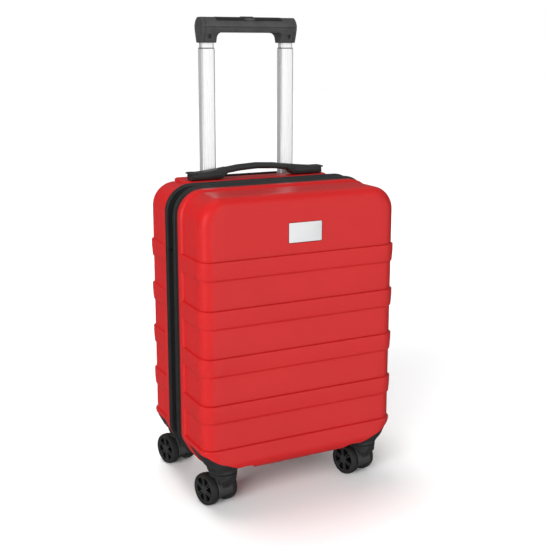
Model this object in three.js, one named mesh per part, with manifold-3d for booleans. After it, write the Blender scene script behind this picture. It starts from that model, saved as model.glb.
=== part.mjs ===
// Hard shell cabin suitcase on four twin-wheel casters, with a two-stage trolley.
// Units are millimetres. X is the width, Y runs from the lid (front) to the back, Z is up.
// The wheels touch z = 0.
import * as THREE from 'three';
import { mergeVertices } from 'three/addons/utils/BufferGeometryUtils.js';
import Module from 'manifold-3d';

const wasm = await Module();
wasm.setup();

// ---------------------------------------------------------------- driving dimensions
const SHIFT = [-2.55, -8.74];  // centres the overall width and depth, lock and rear wheels included, on x = y = 0
const HALF_W = 164.65;           // half width of the shells at the raised bands
const TOP_Z = 480;               // top of the shells at the rim
const BOTTOM_Z = 58;             // underside of the shells
const TOP_R = 40;                // radius of the two top corners
const HALF_D = 112.6;            // front and back faces at the raised bands
const BAND = 3;                  // height of a raised band over the field
const WALL = 3;                  // wall thickness of the shells
const FACE_R = 18;               // radius between a face and its sides
const BAND_TOPS = [387.5, 315.8, 244, 172.4];
const BAND_H = 29;               // height of the four upper bands
const LOW_BAND_TOP = 100.7;      // top of the lowest band, which runs to the bottom
const RIM_W = 14;                // flat raised rim beside the zip
const Y_RIM_F = -19.5;           // front shell ends here
const Y_TAPE_F = -5.5;           // front piping ends here
const Y_ZIP = 6;                 // the teeth
const Y_TAPE_R = 17.5;           // rear tape ends here
const Y_RIM_R = 31.5;            // rear shell starts here
const GAP = 0.3;                 // clearance between touching pieces
const HINGE_Z0 = 139, HINGE_Z1 = 382;      // fabric hinge on the left side
const STEM_X = 123, STEM_Y = 83.5;         // swivel axes
const WHEEL_R = 25, WHEEL_W = 18, WHEEL_GAP = 7;
const TRAIL = 18.5, YAW = 12.6;
const TUBE_X = 69.5, TUBE_Y = 87.7;        // trolley tube axes
const OUTER = [27.0, 20.6], MIDDLE = [23.4, 16.9], INNER = [20.8, 14.2];
const MIDDLE_TOP = 683.5, GRIP_Z0 = 692.5, GRIP_Z1 = 732, GRIP_HALF = 82;
const CUP_Z = 473;               // floor of the shallow recess around the trolley tubes
const PLATE = [55.4, 30, 3, 419];          // name plate: width, height, centre x, centre z

// ---------------------------------------------------------------- helpers
const M = (color, roughness, metalness = 0) => new THREE.MeshStandardMaterial({ color, roughness, metalness });
const RED = M(0xc3161c, 0.42), BLACK = M(0x1c1c1e, 0.5), DARK = M(0x141416, 0.7), RUBBER = M(0x242426, 0.8);
const ALU = M(0xd4d6d8, 0.28, 1), STEEL = M(0x9a9c9f, 0.3, 1), TAPE = M(0x111113, 0.9), CLOTH = M(0x2c2d31, 0.95);
const IVORY = M(0xd8d8d4, 0.5);

const root = new THREE.Group();
root.position.set(SHIFT[0], SHIFT[1], 0);

function solid(geometry) {
  const g = geometry.clone();
  g.deleteAttribute('normal');
  g.deleteAttribute('uv');
  const m = mergeVertices(g, 1e-4);
  return new wasm.Manifold(new wasm.Mesh({
    numProp: 3,
    vertProperties: new Float32Array(m.attributes.position.array),
    triVerts: new Uint32Array(m.index.array),
  }));
}
function geometryOf(manifold) {
  const mesh = manifold.getMesh();
  const g = new THREE.BufferGeometry();
  g.setAttribute('position', new THREE.BufferAttribute(new Float32Array(mesh.vertProperties), 3));
  g.setIndex(new THREE.BufferAttribute(new Uint32Array(mesh.triVerts), 1));
  g.computeVertexNormals();
  return g;
}
function add(name, manifold, material, parent = root) {
  const mesh = new THREE.Mesh(geometryOf(manifold), material);
  mesh.name = name;
  parent.add(mesh);
  return mesh;
}
const shapeOf = (pts) => new THREE.Shape(pts.map(([x, y]) => new THREE.Vector2(x, y)));
const AXES = {
  x: new THREE.Matrix4().set(0, 0, 1, 0, 1, 0, 0, 0, 0, 1, 0, 0, 0, 0, 0, 1),
  y: new THREE.Matrix4().makeRotationX(Math.PI / 2),
  z: new THREE.Matrix4(),
};
// A prism along an axis between two levels; its ends are rounded by r in `seg` steps.
function prism(axis, pts, lo, hi, r = 0, seg = 2) {
  let g;
  if (r > 0) {
    const levels = [];
    for (let i = 0; i <= seg; i++) {
      const a = i * Math.PI / 2 / seg;
      levels.push([r * (1 - Math.sin(a)), r * (1 - Math.cos(a))]);
    }
    const rings = [...levels.slice().reverse().map(([z, d]) => [z, d]), ...levels.map(([z, d]) => [hi - lo - z, d])];
    const first = rings.map(([z, d]) => offset(pts, -d).map(([x, y]) => [x, y, z]));
    const n = pts.length, positions = first.flat(2), index = [];
    for (let k = 0; k < rings.length - 1; k++) {
      for (let i = 0; i < n; i++) {
        const a = k * n + i, b = k * n + (i + 1) % n;
        index.push(a, b, b + n, a, b + n, a + n);
      }
    }
    const cap = THREE.ShapeUtils.triangulateShape(first[0].map(([x, y]) => new THREE.Vector2(x, y)), []);
    const top = (rings.length - 1) * n;
    for (const [a, b, c] of cap) index.push(c, b, a, top + a, top + b, top + c);
    g = new THREE.BufferGeometry();
    g.setAttribute('position', new THREE.Float32BufferAttribute(positions, 3));
    g.setIndex(index);
  } else {
    g = new THREE.ExtrudeGeometry(shapeOf(pts), { depth: hi - lo, steps: 1, bevelEnabled: false });
  }
  g.applyMatrix4(AXES[axis]);
  if (axis === 'x') g.translate(lo, 0, 0);
  if (axis === 'y') g.translate(0, hi, 0);
  if (axis === 'z') g.translate(0, 0, lo);
  return solid(g);
}
const rect = (x0, x1, y0, y1) => [[x0, y0], [x1, y0], [x1, y1], [x0, y1]];
const box = (x0, x1, y0, y1, z0, z1) => prism('z', rect(x0, x1, y0, y1), z0, z1);
function roundRect(w, h, r, n, cx = 0, cy = 0) {
  const pts = [];
  for (const [sx, sy, a0] of [[1, -1, -90], [1, 1, 0], [-1, 1, 90], [-1, -1, 180]]) {
    for (let i = 0; i <= n; i++) {
      const a = (a0 + 90 * i / n) * Math.PI / 180;
      pts.push([cx + sx * (w / 2 - r) + r * Math.cos(a), cy + sy * (h / 2 - r) + r * Math.sin(a)]);
    }
  }
  return pts;
}
function disc(r, n, cx = 0, cy = 0) {
  return Array.from({ length: n }, (_, i) => {
    const a = 2 * Math.PI * i / n;
    return [cx + r * Math.cos(a), cy + r * Math.sin(a)];
  });
}
function offset(pts, d) {
  const n = pts.length;
  return pts.map((p, i) => {
    const a = pts[(i + n - 1) % n], b = pts[(i + 1) % n];
    const n1 = [p[1] - a[1], a[0] - p[0]], n2 = [b[1] - p[1], p[0] - b[0]];
    const l1 = Math.hypot(...n1), l2 = Math.hypot(...n2);
    const m = [n1[0] / l1 + n2[0] / l2, n1[1] / l1 + n2[1] / l2];
    const k = 2 * d / (m[0] * m[0] + m[1] * m[1]);
    return [p[0] + m[0] * k, p[1] + m[1] * k];
  });
}
const mirrorX = (pts) => pts.map(([x, y]) => [-x, y]).reverse();

// ---------------------------------------------------------------- outline of the case, seen from the front
const LOW_R = 28, LOW_SLOPE = 62, LOW_RUN = 18;    // cut-away lower corners: radius, slope, straight run
const right = [];
{
  const deg = Math.PI / 180, s = LOW_SLOPE * deg;
  const x0 = HALF_W - LOW_R - LOW_RUN * Math.cos(s);
  for (let i = 0; i <= 4; i++) right.push([x0 + LOW_R * Math.sin(s * i / 4), BOTTOM_Z + LOW_R * (1 - Math.cos(s * i / 4))]);
  const [px, pz] = right[4], qx = px + LOW_RUN * Math.cos(s), qz = pz + LOW_RUN * Math.sin(s);
  for (let i = 0; i <= 2; i++) {
    const a = s + (Math.PI / 2 - s) * i / 2;
    right.push([qx + LOW_R * (Math.sin(a) - Math.sin(s)), qz + LOW_R * (Math.cos(s) - Math.cos(a))]);
  }
}
for (let i = 0; i <= 5; i++) {
  const a = i * Math.PI / 10;
  right.push([HALF_W - TOP_R + TOP_R * Math.cos(a), TOP_Z - TOP_R + TOP_R * Math.sin(a)]);
}
const OUTLINE = [...right, ...mirrorX(right)];
const outline = (d) => offset(OUTLINE, d);

// Underside corner that the wheel housing takes out of a shell, seen from the front.
const CORNER = [[76, 40], [176, 40], [176, 99], [165, 95.5], [157, 92], [148, 86], [138, 80.5], [126, 76],
  [116, 71], [106, 67.5], [96, 68], [86, 68], [80, 65.5], [76, 60.5]];
const HOUSING_IN = 52;
function cornerVolume(side, face, d) {
  const pts = side > 0 ? offset(CORNER, d) : mirrorX(offset(CORNER, d));
  return face < 0 ? prism('y', pts, -130, -HOUSING_IN + d) : prism('y', pts, HOUSING_IN - d, 130);
}

// ---------------------------------------------------------------- shells
function shellOuter(level, r) {
  return prism('y', outline(level), -(HALF_D + level), HALF_D + level, r, 3);
}
function shell(face) {
  const near = face < 0 ? box(-300, 300, -300, Y_RIM_F, 0, 600) : box(-300, 300, Y_RIM_R, 300, 0, 600);
  const slabs = [...BAND_TOPS.map((t) => [t - BAND_H, t]), [0, LOW_BAND_TOP]]
    .map(([a, b]) => box(-300, 300, -300, 300, a, b));
  slabs.push(face < 0 ? box(-300, 300, Y_RIM_F - RIM_W, 0, 0, 600) : box(-300, 300, 0, Y_RIM_R + RIM_W, 0, 600));
  let bands = slabs[0];
  for (const s of slabs.slice(1)) bands = bands.add(s);
  let s = shellOuter(-BAND, FACE_R).add(shellOuter(0, FACE_R + BAND).intersect(bands));
  if (face > 0) {
    // raised platform on top, around the carry handle and the trolley recess
    s = s.add(prism('z', roundRect(248, 65, 10, 2, 0, 70.5), 470, 481.8));
  }
  s = s.subtract(shellOuter(-BAND - WALL, FACE_R - WALL)).intersect(near);
  for (const side of [-1, 1]) s = s.subtract(cornerVolume(side, face, GAP));
  return s;
}
const [PW, PH, PX, PZ] = PLATE;
const plateRect = (d) => roundRect(PW + 2 * d, PH + 2 * d, 1.6 + d, 2, PX, PZ);
add('front_shell', shell(-1).subtract(prism('y', plateRect(0.6), -HALF_D, -HALF_D + BAND + 1.2)), RED);
add('name_plate', prism('y', plateRect(0), -HALF_D + BAND + 0.1, -HALF_D + BAND + 0.9), STEEL);

const CUP = [172, 27.4];         // collar around both tubes, width and depth
const LOCK_Z = 268;
let rear = shell(1);
rear = rear.subtract(prism('z', roundRect(CUP[0] + 0.6, CUP[1] + 0.6, 7.3, 3, 0, TUBE_Y), 440, 500));
for (const x of [-92, 92]) rear = rear.subtract(box(x - 5.3, x + 5.3, 47.7, 58.3, 460, 500));
rear = rear.subtract(box(HALF_W - 4, 200, Y_RIM_R - 1, 42.3, LOCK_Z - 33.3, LOCK_Z + 33.3));
add('rear_shell', rear, RED);

// ---------------------------------------------------------------- rim trims and zip
const ring = (outer, inner, y0, y1, r = 0) =>
  prism('y', outline(outer), y0, y1, r, 2).subtract(prism('y', outline(inner), y0 - 5, y1 + 5));
const lockNotch = box(HALF_W - 4.3, 200, Y_TAPE_R, 50, LOCK_Z - 33.6, LOCK_Z + 33.6);
add('front_piping', ring(3, -4, Y_RIM_F + GAP, Y_TAPE_F - GAP, 3), BLACK);
add('rear_piping', ring(3, -4, Y_TAPE_R + GAP, Y_RIM_R - GAP, 3).subtract(lockNotch), BLACK);
const hingeGap = box(-300, -120, -50, 50, HINGE_Z0, HINGE_Z1);
add('front_zip_tape', ring(-1, -4, Y_TAPE_F, Y_ZIP - 0.15).subtract(hingeGap), TAPE);
add('rear_zip_tape', ring(-1, -4, Y_ZIP + 0.15, Y_TAPE_R).subtract(hingeGap), TAPE);
add('hinge_tape', box(-HALF_W - 0.4, -HALF_W + 1.4, Y_TAPE_F + 0.4, Y_TAPE_R - 0.2, HINGE_Z0 + GAP, HINGE_Z1 - GAP), TAPE);
for (const [tag, z] of [['upper', 292], ['lower', 244]]) {
  // slider: a body with a bridge on top that holds the puller's ring
  const x = HALF_W - 1 + GAP;
  let slider = prism('x', [[1.4, z - 6.5], [10.6, z - 6.5], [11.4, z + 2], [9, z + 6.5], [3, z + 6.5], [0.6, z + 2]], x, x + 2.6);
  slider = slider.add(box(x + 2, x + 6, Y_ZIP - 1.1, Y_ZIP + 1.1, z - 5, z + 5)
    .subtract(box(x + 2.6, x + 5.1, 0, 12, z - 3.4, z + 3)));
  add('zip_slider_' + tag, slider, STEEL);
  // puller: a plate hanging from a pin that passes under the bridge
  const pin = prism('y', disc(0.6, 8, x + 3.9, z - 1.2), Y_ZIP - 3.1, Y_ZIP + 3.1);
  const puller = pin.add(box(x + 3.2, x + 4.6, Y_ZIP - 4.6, Y_ZIP - 2.4, z - 9, z - 0.4))
    .add(box(x + 3.2, x + 4.6, Y_ZIP + 2.4, Y_ZIP + 4.6, z - 9, z - 0.4))
    .add(box(x + 3.2, x + 4.6, Y_ZIP - 4.6, Y_ZIP + 4.6, z - 22, z - 8));
  add('zip_puller_' + tag, puller, STEEL);
}

// ---------------------------------------------------------------- combination lock on the right side
{
  const x0 = HALF_W - 3.6, x1 = HALF_W + 4.6, y0 = Y_TAPE_R + GAP, y1 = 42;
  const yc = (y0 + y1) / 2;
  let body = prism('x', roundRect(y1 - y0, 66, 4, 2, yc, LOCK_Z), x0, x1, 0);
  const dialZ = [LOCK_Z - 17, LOCK_Z - 8, LOCK_Z + 1];
  for (const z of dialZ) body = body.subtract(box(x1 - 6.6, x1 + 5, yc - 5.4, yc + 5.4, z - 3.2, z + 3.2));
  body = body.subtract(box(x1 - 2.6, x1 + 5, yc - 4, yc + 4, LOCK_Z + 9, LOCK_Z + 25));
  add('lock_body', body, BLACK);
  dialZ.forEach((z, i) => {
    add('lock_dial_' + (i + 1), prism('z', disc(4.9, 20, x1 - 3.3 + 1.9, yc), z - 2.8, z + 2.8), IVORY);
  });
  add('lock_release', box(x1 - 2.3, x1 + 1.6, yc - 3.7, yc + 3.7, LOCK_Z + 9.3, LOCK_Z + 17.7), BLACK);
}

// ---------------------------------------------------------------- carry handle
const hood = [[62, 482.6], [114.5, 482.6], [116.5, 486.5], [116.8, 491], [112.5, 494.2], [88, 495.6], [62, 497.6], [32, 500.6], [0, 502]];
const handleLow = [[0, 490.4], [30, 489.8], [46, 488.2], [54, 486]];
const handleOutline = [[0, 490.4], ...handleLow.slice(1), ...hood, ...hood.slice(0, -1).reverse().map(([x, z]) => [-x, z]),
  ...handleLow.slice(1).reverse().map(([x, z]) => [-x, z])];
let handle = prism('y', handleOutline, 42, 64, 2.5, 2);
for (const s of [-1, 1]) handle = handle.subtract(box(s * 92 - 12, s * 92 + 12, 45.5, 60.5, 470, 491));
add('carry_handle', handle, BLACK);
for (const [tag, s] of [['left', -1], ['right', 1]]) {
  // post through the platform, with a head under the hood that stops the handle's lift
  const post = box(s * 92 - 5, s * 92 + 5, 48, 58, 466, 488).add(box(s * 92 - 9, s * 92 + 9, 46.5, 59.5, 482.1, 484.6));
  add('carry_handle_mount_' + tag, post, DARK);
}

// ---------------------------------------------------------------- trolley
{
  // recess lined by a cup with a flange and two holes for the tubes
  let cup = prism('z', roundRect(CUP[0], CUP[1], 7, 3, 0, TUBE_Y), CUP_Z - 2, 481.6)
    .subtract(prism('z', roundRect(CUP[0] - 3, CUP[1] - 3, 5.5, 3, 0, TUBE_Y), CUP_Z, 500));
  for (const s of [-1, 1]) {
    cup = cup.subtract(prism('z', roundRect(MIDDLE[0] + 0.8, MIDDLE[1] + 0.8, 4.4, 2, s * TUBE_X, TUBE_Y), 440, 500));
  }
  add('trolley_cup', cup, BLACK);
}
const tube = (size, wall, r, s, z0, z1) => prism('z', roundRect(size[0], size[1], r, 2, s * TUBE_X, TUBE_Y), z0, z1)
  .subtract(prism('z', roundRect(size[0] - 2 * wall, size[1] - 2 * wall, r - wall * 0.8, 2, s * TUBE_X, TUBE_Y), z0 - 5, z1 + 5));
for (const [tag, s] of [['left', -1], ['right', 1]]) {
  add('outer_tube_' + tag, tube(OUTER, 1.3, 5, s, 74, CUP_Z - 2 - GAP), ALU);
  let mid = tube(MIDDLE, 1.0, 4, s, 290, MIDDLE_TOP);
  for (const z of [652, 503]) {
    mid = mid.subtract(prism('x', disc(2, 8, TUBE_Y, z), s > 0 ? TUBE_X - 14 : -TUBE_X + 8, s > 0 ? TUBE_X - 8 : -TUBE_X + 14));
  }
  add('middle_tube_' + tag, mid, ALU);
  add('inner_tube_' + tag, tube(INNER, 1.2, 3.4, s, 330, 706), ALU);
}
{
  let foot = prism('z', roundRect(172, 30, 6, 2, 0, TUBE_Y), 70, 90);
  for (const s of [-1, 1]) {
    foot = foot.subtract(prism('z', roundRect(OUTER[0] + 0.6, OUTER[1] + 0.6, 5.3, 2, s * TUBE_X, TUBE_Y), 73.7, 100));
  }
  add('trolley_foot', foot, BLACK);
}
{
  const y = TUBE_Y;
  const side = [[y - 11, GRIP_Z0], [y + 11, GRIP_Z0], [y + 16, 707], [y + 18.6, 717], [y + 15, 726], [y + 9, 731.2], [y + 7, GRIP_Z1],
    [y - 7, GRIP_Z1], [y - 9, 731.2], [y - 15, 726], [y - 18.6, 717], [y - 16, 707]];
  let grip = prism('x', side, -GRIP_HALF, GRIP_HALF);
  const gap = [[-57, 680], [57, 680], [57, 700.5]];
  for (let i = 0; i <= 3; i++) {
    const a = i * Math.PI / 6;
    gap.push([49 + 8 * Math.cos(a), 700.5 + 8 * Math.sin(a)]);
  }
  for (let i = 0; i <= 3; i++) {
    const a = Math.PI / 2 + i * Math.PI / 6;
    gap.push([-49 + 8 * Math.cos(a), 700.5 + 8 * Math.sin(a)]);
  }
  grip = grip.subtract(prism('y', [...gap.slice(0, 2), ...gap.slice(3)], y - 40, y + 40));
  for (const s of [-1, 1]) {
    grip = grip.subtract(prism('z', roundRect(INNER[0] + 0.6, INNER[1] + 0.6, 3.7, 2, s * TUBE_X, y), 680, 706.3));
    grip = grip.subtract(prism('y', disc(3.2, 12, s * TUBE_X, 702), y - 30, y - 7.3));
    add('grip_screw_' + (s < 0 ? 'left' : 'right'), prism('y', disc(2.9, 12, s * TUBE_X, 702), y - 12, y - 7.7), STEEL);
  }
  grip = grip.subtract(box(-46.3, 46.3, y - 5.3, y + 5.3, 729.7, 740));
  grip = grip.subtract(box(-10.8, 10.8, y - 4.6, y + 4.6, 720, 740));
  add('trolley_grip_front', grip.intersect(box(-200, 200, y - 50, y - 0.15, 600, 800)), BLACK);
  add('trolley_grip_rear', grip.intersect(box(-200, 200, y + 0.15, y + 50, 600, 800)), BLACK);
  add('trolley_grip_insert', box(-46, 46, y - 5, y + 5, 730, 732.6).subtract(box(-10.6, 10.6, y - 4.4, y + 4.4, 720, 740)), DARK);
  add('trolley_button', box(-10.3, 10.3, y - 4.1, y + 4.1, 724.5, 733.6), BLACK);
}

// ---------------------------------------------------------------- wheels and their housings
for (const [tag, sx, sy] of [['front_left', -1, -1], ['front_right', 1, -1], ['rear_left', -1, 1], ['rear_right', 1, 1]]) {
  const x = sx * STEM_X, y = sy * STEM_Y;
  // housing: fills the shell's corner, with a skirt below it around the swivel
  let house = cornerVolume(sx, sy, 0).intersect(prism('y', outline(-0.6), -(HALF_D - BAND - 0.4), HALF_D - BAND - 0.4, 16, 2));
  house = house.intersect(sy < 0 ? box(-300, 300, -300, -HOUSING_IN, 50, 120) : box(-300, 300, HOUSING_IN, 300, 50, 120));
  house = house.add(prism('z', roundRect(43.5, 43.5, 15, 3, sx * 124, sy * (HALF_D - BAND - 26.6)), 57, 66.5));
  house = house.subtract(prism('z', disc(6.8, 12, x, y), 50, 74.3));
  add('wheel_housing_' + tag, house, BLACK);

  const caster = new THREE.Group();
  caster.position.set(x, y, 0);
  caster.rotation.z = YAW * Math.PI / 180;
  root.add(caster);
  // fork in its own frame: x across the wheels, y along the trail
  const H = WHEEL_GAP - 0.8;
  let fork = prism('z', disc(21.5, 24), 52.4, 56.6).add(prism('z', disc(6.2, 12), 55, 74));
  const web = [[-15, 54], [-12.5, 44], [-9, 34], [-7.6, 24], [-1, 19], [1, 12], [7, 8.2], [14, 7], [20, 7], [27, 9.5], [27, 22], [33, 30], [30, 40], [22, 47], [19, 54]];
  fork = fork.add(prism('x', web, -H, H));
  // pointed front plate, flush with the housing's skirt at the top and swept back to its tip
  fork = fork.add(prism('y', [[-21, 54], [-19, 50.5], [-15, 46], [-11, 41.5], [-6, 37], [0, 34.5], [6, 37], [11, 41.5], [15, 46], [19, 50.5], [21, 54]], -24, -8.2)
    .intersect(prism('z', disc(21.5, 24), 20, 60))
    .subtract(prism('x', [[-30, 20], [-9.5, 20], [-12.3, 33], [-15, 41], [-21.8, 51.5], [-30, 51.5]], -30, 30)));
  // mudguard: a curved plate round the front of both wheels, down to a lip above the ground
  const guard = [];
  for (let i = 0; i <= 7; i++) guard.push([28, 98 + 92 * i / 7]);
  for (let i = 7; i >= 0; i--) guard.push([26.1, 98 + 92 * i / 7]);
  fork = fork.add(prism('x', guard.map(([r, t]) => [TRAIL + r * Math.cos(t * Math.PI / 180), WHEEL_R + r * Math.sin(t * Math.PI / 180)]), -13, 13));
  fork = fork.subtract(prism('x', disc(2.8, 12, TRAIL, WHEEL_R), -20, 20));
  add('caster_fork_' + tag, fork, BLACK, caster);
  add('wheel_axle_' + tag, prism('x', disc(2.5, 12, TRAIL, WHEEL_R), -WHEEL_GAP - WHEEL_W + 3, WHEEL_GAP + WHEEL_W - 3), STEEL, caster);
  for (const [side, s] of [['left', -1], ['right', 1]]) {
    // tyre with a crowned tread, a hub face set back, and a bore for the axle
    const profile = [[2.8, -8], [17.5, -8], [21.5, -9], [24.2, -6.5], [25, -2.5], [25, 2.5], [24.2, 6.5], [22, 9],
      [20.4, 8.6], [19.6, 6.8], [2.8, 6.8], [2.8, -8]].map(([r, h]) => new THREE.Vector2(r, h));
    const g = new THREE.LatheGeometry(profile, 20);
    g.rotateZ(s < 0 ? Math.PI / 2 : -Math.PI / 2);
    const wheel = new THREE.Mesh(geometryOf(solid(g)), RUBBER);
    wheel.name = `wheel_${tag}_${side}`;
    wheel.position.set(s * (WHEEL_GAP + WHEEL_W / 2), TRAIL, WHEEL_R);
    caster.add(wheel);
  }
}

// ---------------------------------------------------------------- soft interior
function lining(face) {
  const half = (d) => {
    if (face < 0) {
      return prism('y', outline(-7 - d), -(HALF_D - 7 - d), 60, 14 - d, 3)
        .intersect(box(-300, 300, -300, Y_RIM_F - 0.6 + (d ? 9 : 0), 0, 600))
        .subtract(box(75 - d, 300, -300, -51 + d, 0, 100 + d)).subtract(box(-300, -75 + d, -300, -51 + d, 0, 100 + d));
    }
    return prism('y', outline(-7 - d), Y_RIM_R + 0.6 - (d ? 9 : 0), 71.4 - d)
      .subtract(box(75 - d, 300, 51 - d, 300, 0, 100 + d)).subtract(box(-300, -75 + d, 51 - d, 300, 0, 100 + d));
  };
  return half(0).subtract(half(1.2));
}
add('lid_lining', lining(-1), CLOTH);
let base = lining(1);
for (const s of [-1, 1]) base = base.subtract(box(s * 92 - 7, s * 92 + 7, 46, 60, 464, 500));
add('base_lining', base, CLOTH);
for (const [tag, s] of [['left', -1], ['right', 1]]) {
  const arm = (z1) => {
    const zc = 262, x0 = 26, x1 = 154, w = 12.5, dz = z1 - zc, dx = x1 - x0, l = Math.hypot(dx, dz), nx = -dz / l * w, nz = dx / l * w;
    const p = [[x0 + nx, zc + nz], [x0 - nx, zc - nz], [x1 - nx, z1 - nz], [x1 + nx, z1 + nz]];
    return p;
  };
  const y0 = 33.5, y1 = 35;
  let strap = prism('y', arm(380), y0, y1).add(prism('y', arm(150), y0, y1)).add(box(22, 44, y0, y1, 250, 274));
  strap = strap.intersect(box(24.8, 153, 0, 60, 100, 450).add(box(22, 25, 0, 60, 250, 274)));
  if (s < 0) strap = strap.mirror([1, 0, 0]);
  add('cross_strap_' + tag, strap, CLOTH);
}
add('strap_buckle', box(-24, 24, 32, 37.5, 248, 276)
  .subtract(box(-25, -19.5, 33.2, 35.3, 249.5, 274.5)).subtract(box(19.5, 25, 33.2, 35.3, 249.5, 274.5)), BLACK);

export default root;
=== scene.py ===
# Hard shell cabin suitcase: the looks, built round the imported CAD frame.
import math
import bmesh
import bpy
import numpy as np
from mathutils import Matrix, Vector


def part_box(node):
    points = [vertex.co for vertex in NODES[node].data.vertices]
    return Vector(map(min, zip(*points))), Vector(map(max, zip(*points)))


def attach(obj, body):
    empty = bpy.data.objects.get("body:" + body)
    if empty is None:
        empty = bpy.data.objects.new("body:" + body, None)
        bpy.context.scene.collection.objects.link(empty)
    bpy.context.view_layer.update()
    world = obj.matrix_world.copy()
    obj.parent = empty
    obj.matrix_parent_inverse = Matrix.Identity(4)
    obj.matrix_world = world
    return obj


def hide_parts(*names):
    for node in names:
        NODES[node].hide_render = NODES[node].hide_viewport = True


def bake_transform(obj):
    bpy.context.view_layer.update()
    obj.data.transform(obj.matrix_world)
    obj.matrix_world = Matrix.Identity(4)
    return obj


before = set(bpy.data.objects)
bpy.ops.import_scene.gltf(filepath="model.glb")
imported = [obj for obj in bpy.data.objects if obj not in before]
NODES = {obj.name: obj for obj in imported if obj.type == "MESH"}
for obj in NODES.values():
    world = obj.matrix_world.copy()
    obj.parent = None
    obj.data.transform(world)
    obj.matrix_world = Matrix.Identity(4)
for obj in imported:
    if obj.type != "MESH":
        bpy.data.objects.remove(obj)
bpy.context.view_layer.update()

# the part's own design frame, in millimetres, has its origin at the shells' centre plane
_lo, _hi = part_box("rear_shell")
OX = (_lo[0] + _hi[0]) / 2
OY = _hi[1] - 0.1126


def W(p):
    return (p[0] / 1000 + OX, p[1] / 1000 + OY, p[2] / 1000)


# ------------------------------------------------------------------ camera, floor and light
scene = bpy.context.scene
scene.view_settings.view_transform = "Standard"

cam_data = bpy.data.cameras.new("camera")
cam = bpy.data.objects.new("camera", cam_data)
scene.collection.objects.link(cam)
scene.camera = cam
F_PX = 944.6
cam_data.sensor_width = 36
cam_data.lens = F_PX * 36 / 546
cam_data.shift_x = 0.0068
cam_data.shift_y = -0.0586
cam_data.clip_start, cam_data.clip_end = 0.05, 60
yaw, pitch = math.radians(26.341), math.radians(11.568)
fwd = Vector((math.sin(yaw) * math.cos(pitch), math.cos(yaw) * math.cos(pitch), -math.sin(pitch)))
cam.location = W((-651.6, -1310.6, 685.0))
cam.rotation_mode = "QUATERNION"
cam.rotation_quaternion = fwd.to_track_quat("-Z", "Y")


def area(name, loc, aim, size, power, color=(1, 1, 1), size_y=None):
    d = bpy.data.lights.new(name, "AREA")
    d.energy, d.size, d.color = power, size, color
    if size_y:
        d.shape, d.size_y = "RECTANGLE", size_y
    o = bpy.data.objects.new(name, d)
    scene.collection.objects.link(o)
    o.location = loc
    o.rotation_mode = "QUATERNION"
    o.rotation_quaternion = (Vector(aim) - Vector(loc)).to_track_quat("-Z", "Y")
    return o


sun_d = bpy.data.lights.new("key", "SUN")
sun_d.energy, sun_d.angle = 3.5, math.radians(42)
sun = bpy.data.objects.new("key", sun_d)
scene.collection.objects.link(sun)
sun.location = (-1.5, -1.5, 2.4)
sun.visible_glossy = False
sun.rotation_mode = "QUATERNION"
sun.rotation_quaternion = Vector((0.735, 0.60, -0.31)).to_track_quat("-Z", "Y")
top_d = bpy.data.lights.new("top", "SUN")
top_d.energy, top_d.angle = 1.55, math.radians(24)
top = bpy.data.objects.new("top", top_d)
scene.collection.objects.link(top)
top.location = (0, 0, 2.6)
top.visible_glossy = False
top.rotation_mode = "QUATERNION"
top.rotation_quaternion = Vector((0.10, -0.22, -0.97)).to_track_quat("-Z", "Y")
area("strip", (-2.3, -0.9, 0.6), (0, 0, 0.3), 0.34, 9.0, size_y=1.7)
area("back_fill", (1.6, 2.4, 1.7), (0, 0, 0.35), 1.6, 16).visible_glossy = False

# the room: white where the camera looks past the case, softly shaded panels for the light
world = bpy.data.worlds.new("world")
scene.world = world
world.use_nodes = True
wt = world.node_tree
bg = wt.nodes["Background"]


def wn(kind, **props):
    n = wt.nodes.new(kind)
    for k, v in props.items():
        setattr(n, k, v)
    return n


g = wn("ShaderNodeTexCoord").outputs["Generated"]


def lobe(direction, a, b, lo, hi):
    d = wn("ShaderNodeVectorMath", operation="DOT_PRODUCT")
    wt.links.new(g, d.inputs[0])
    d.inputs[1].default_value = Vector(direction).normalized()
    m = wn("ShaderNodeMapRange", interpolation_type="SMOOTHSTEP")
    for k, v in (("From Min", a), ("From Max", b), ("To Min", lo), ("To Max", hi)):
        m.inputs[k].default_value = v
    wt.links.new(d.outputs["Value"], m.inputs["Value"])
    return m.outputs["Result"]


def wmath(op, a, b):
    n = wn("ShaderNodeMath", operation=op)
    for i, v in enumerate((a, b)):
        if isinstance(v, (int, float)):
            n.inputs[i].default_value = v
        else:
            wt.links.new(v, n.inputs[i])
    return n.outputs[0]


front_l = wmath("MULTIPLY", lobe((0.42, -0.89, 0.16), 0.62, 0.97, 0.0, 1.0), lobe((1, 0, 0), 0.44, 0.68, 1.0, 0.42))
room = wmath("ADD", wmath("ADD", front_l, lobe((0, 0, 1), 0.1, 0.9, 0.0, 0.24)), 0.11)
pick = wmath("MAXIMUM", room, wn("ShaderNodeLightPath").outputs["Is Camera Ray"])
wt.links.new(pick, bg.inputs["Strength"])
bg.inputs["Color"].default_value = (1, 1, 1, 1)

# ------------------------------------------------------------------ node helpers


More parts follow.
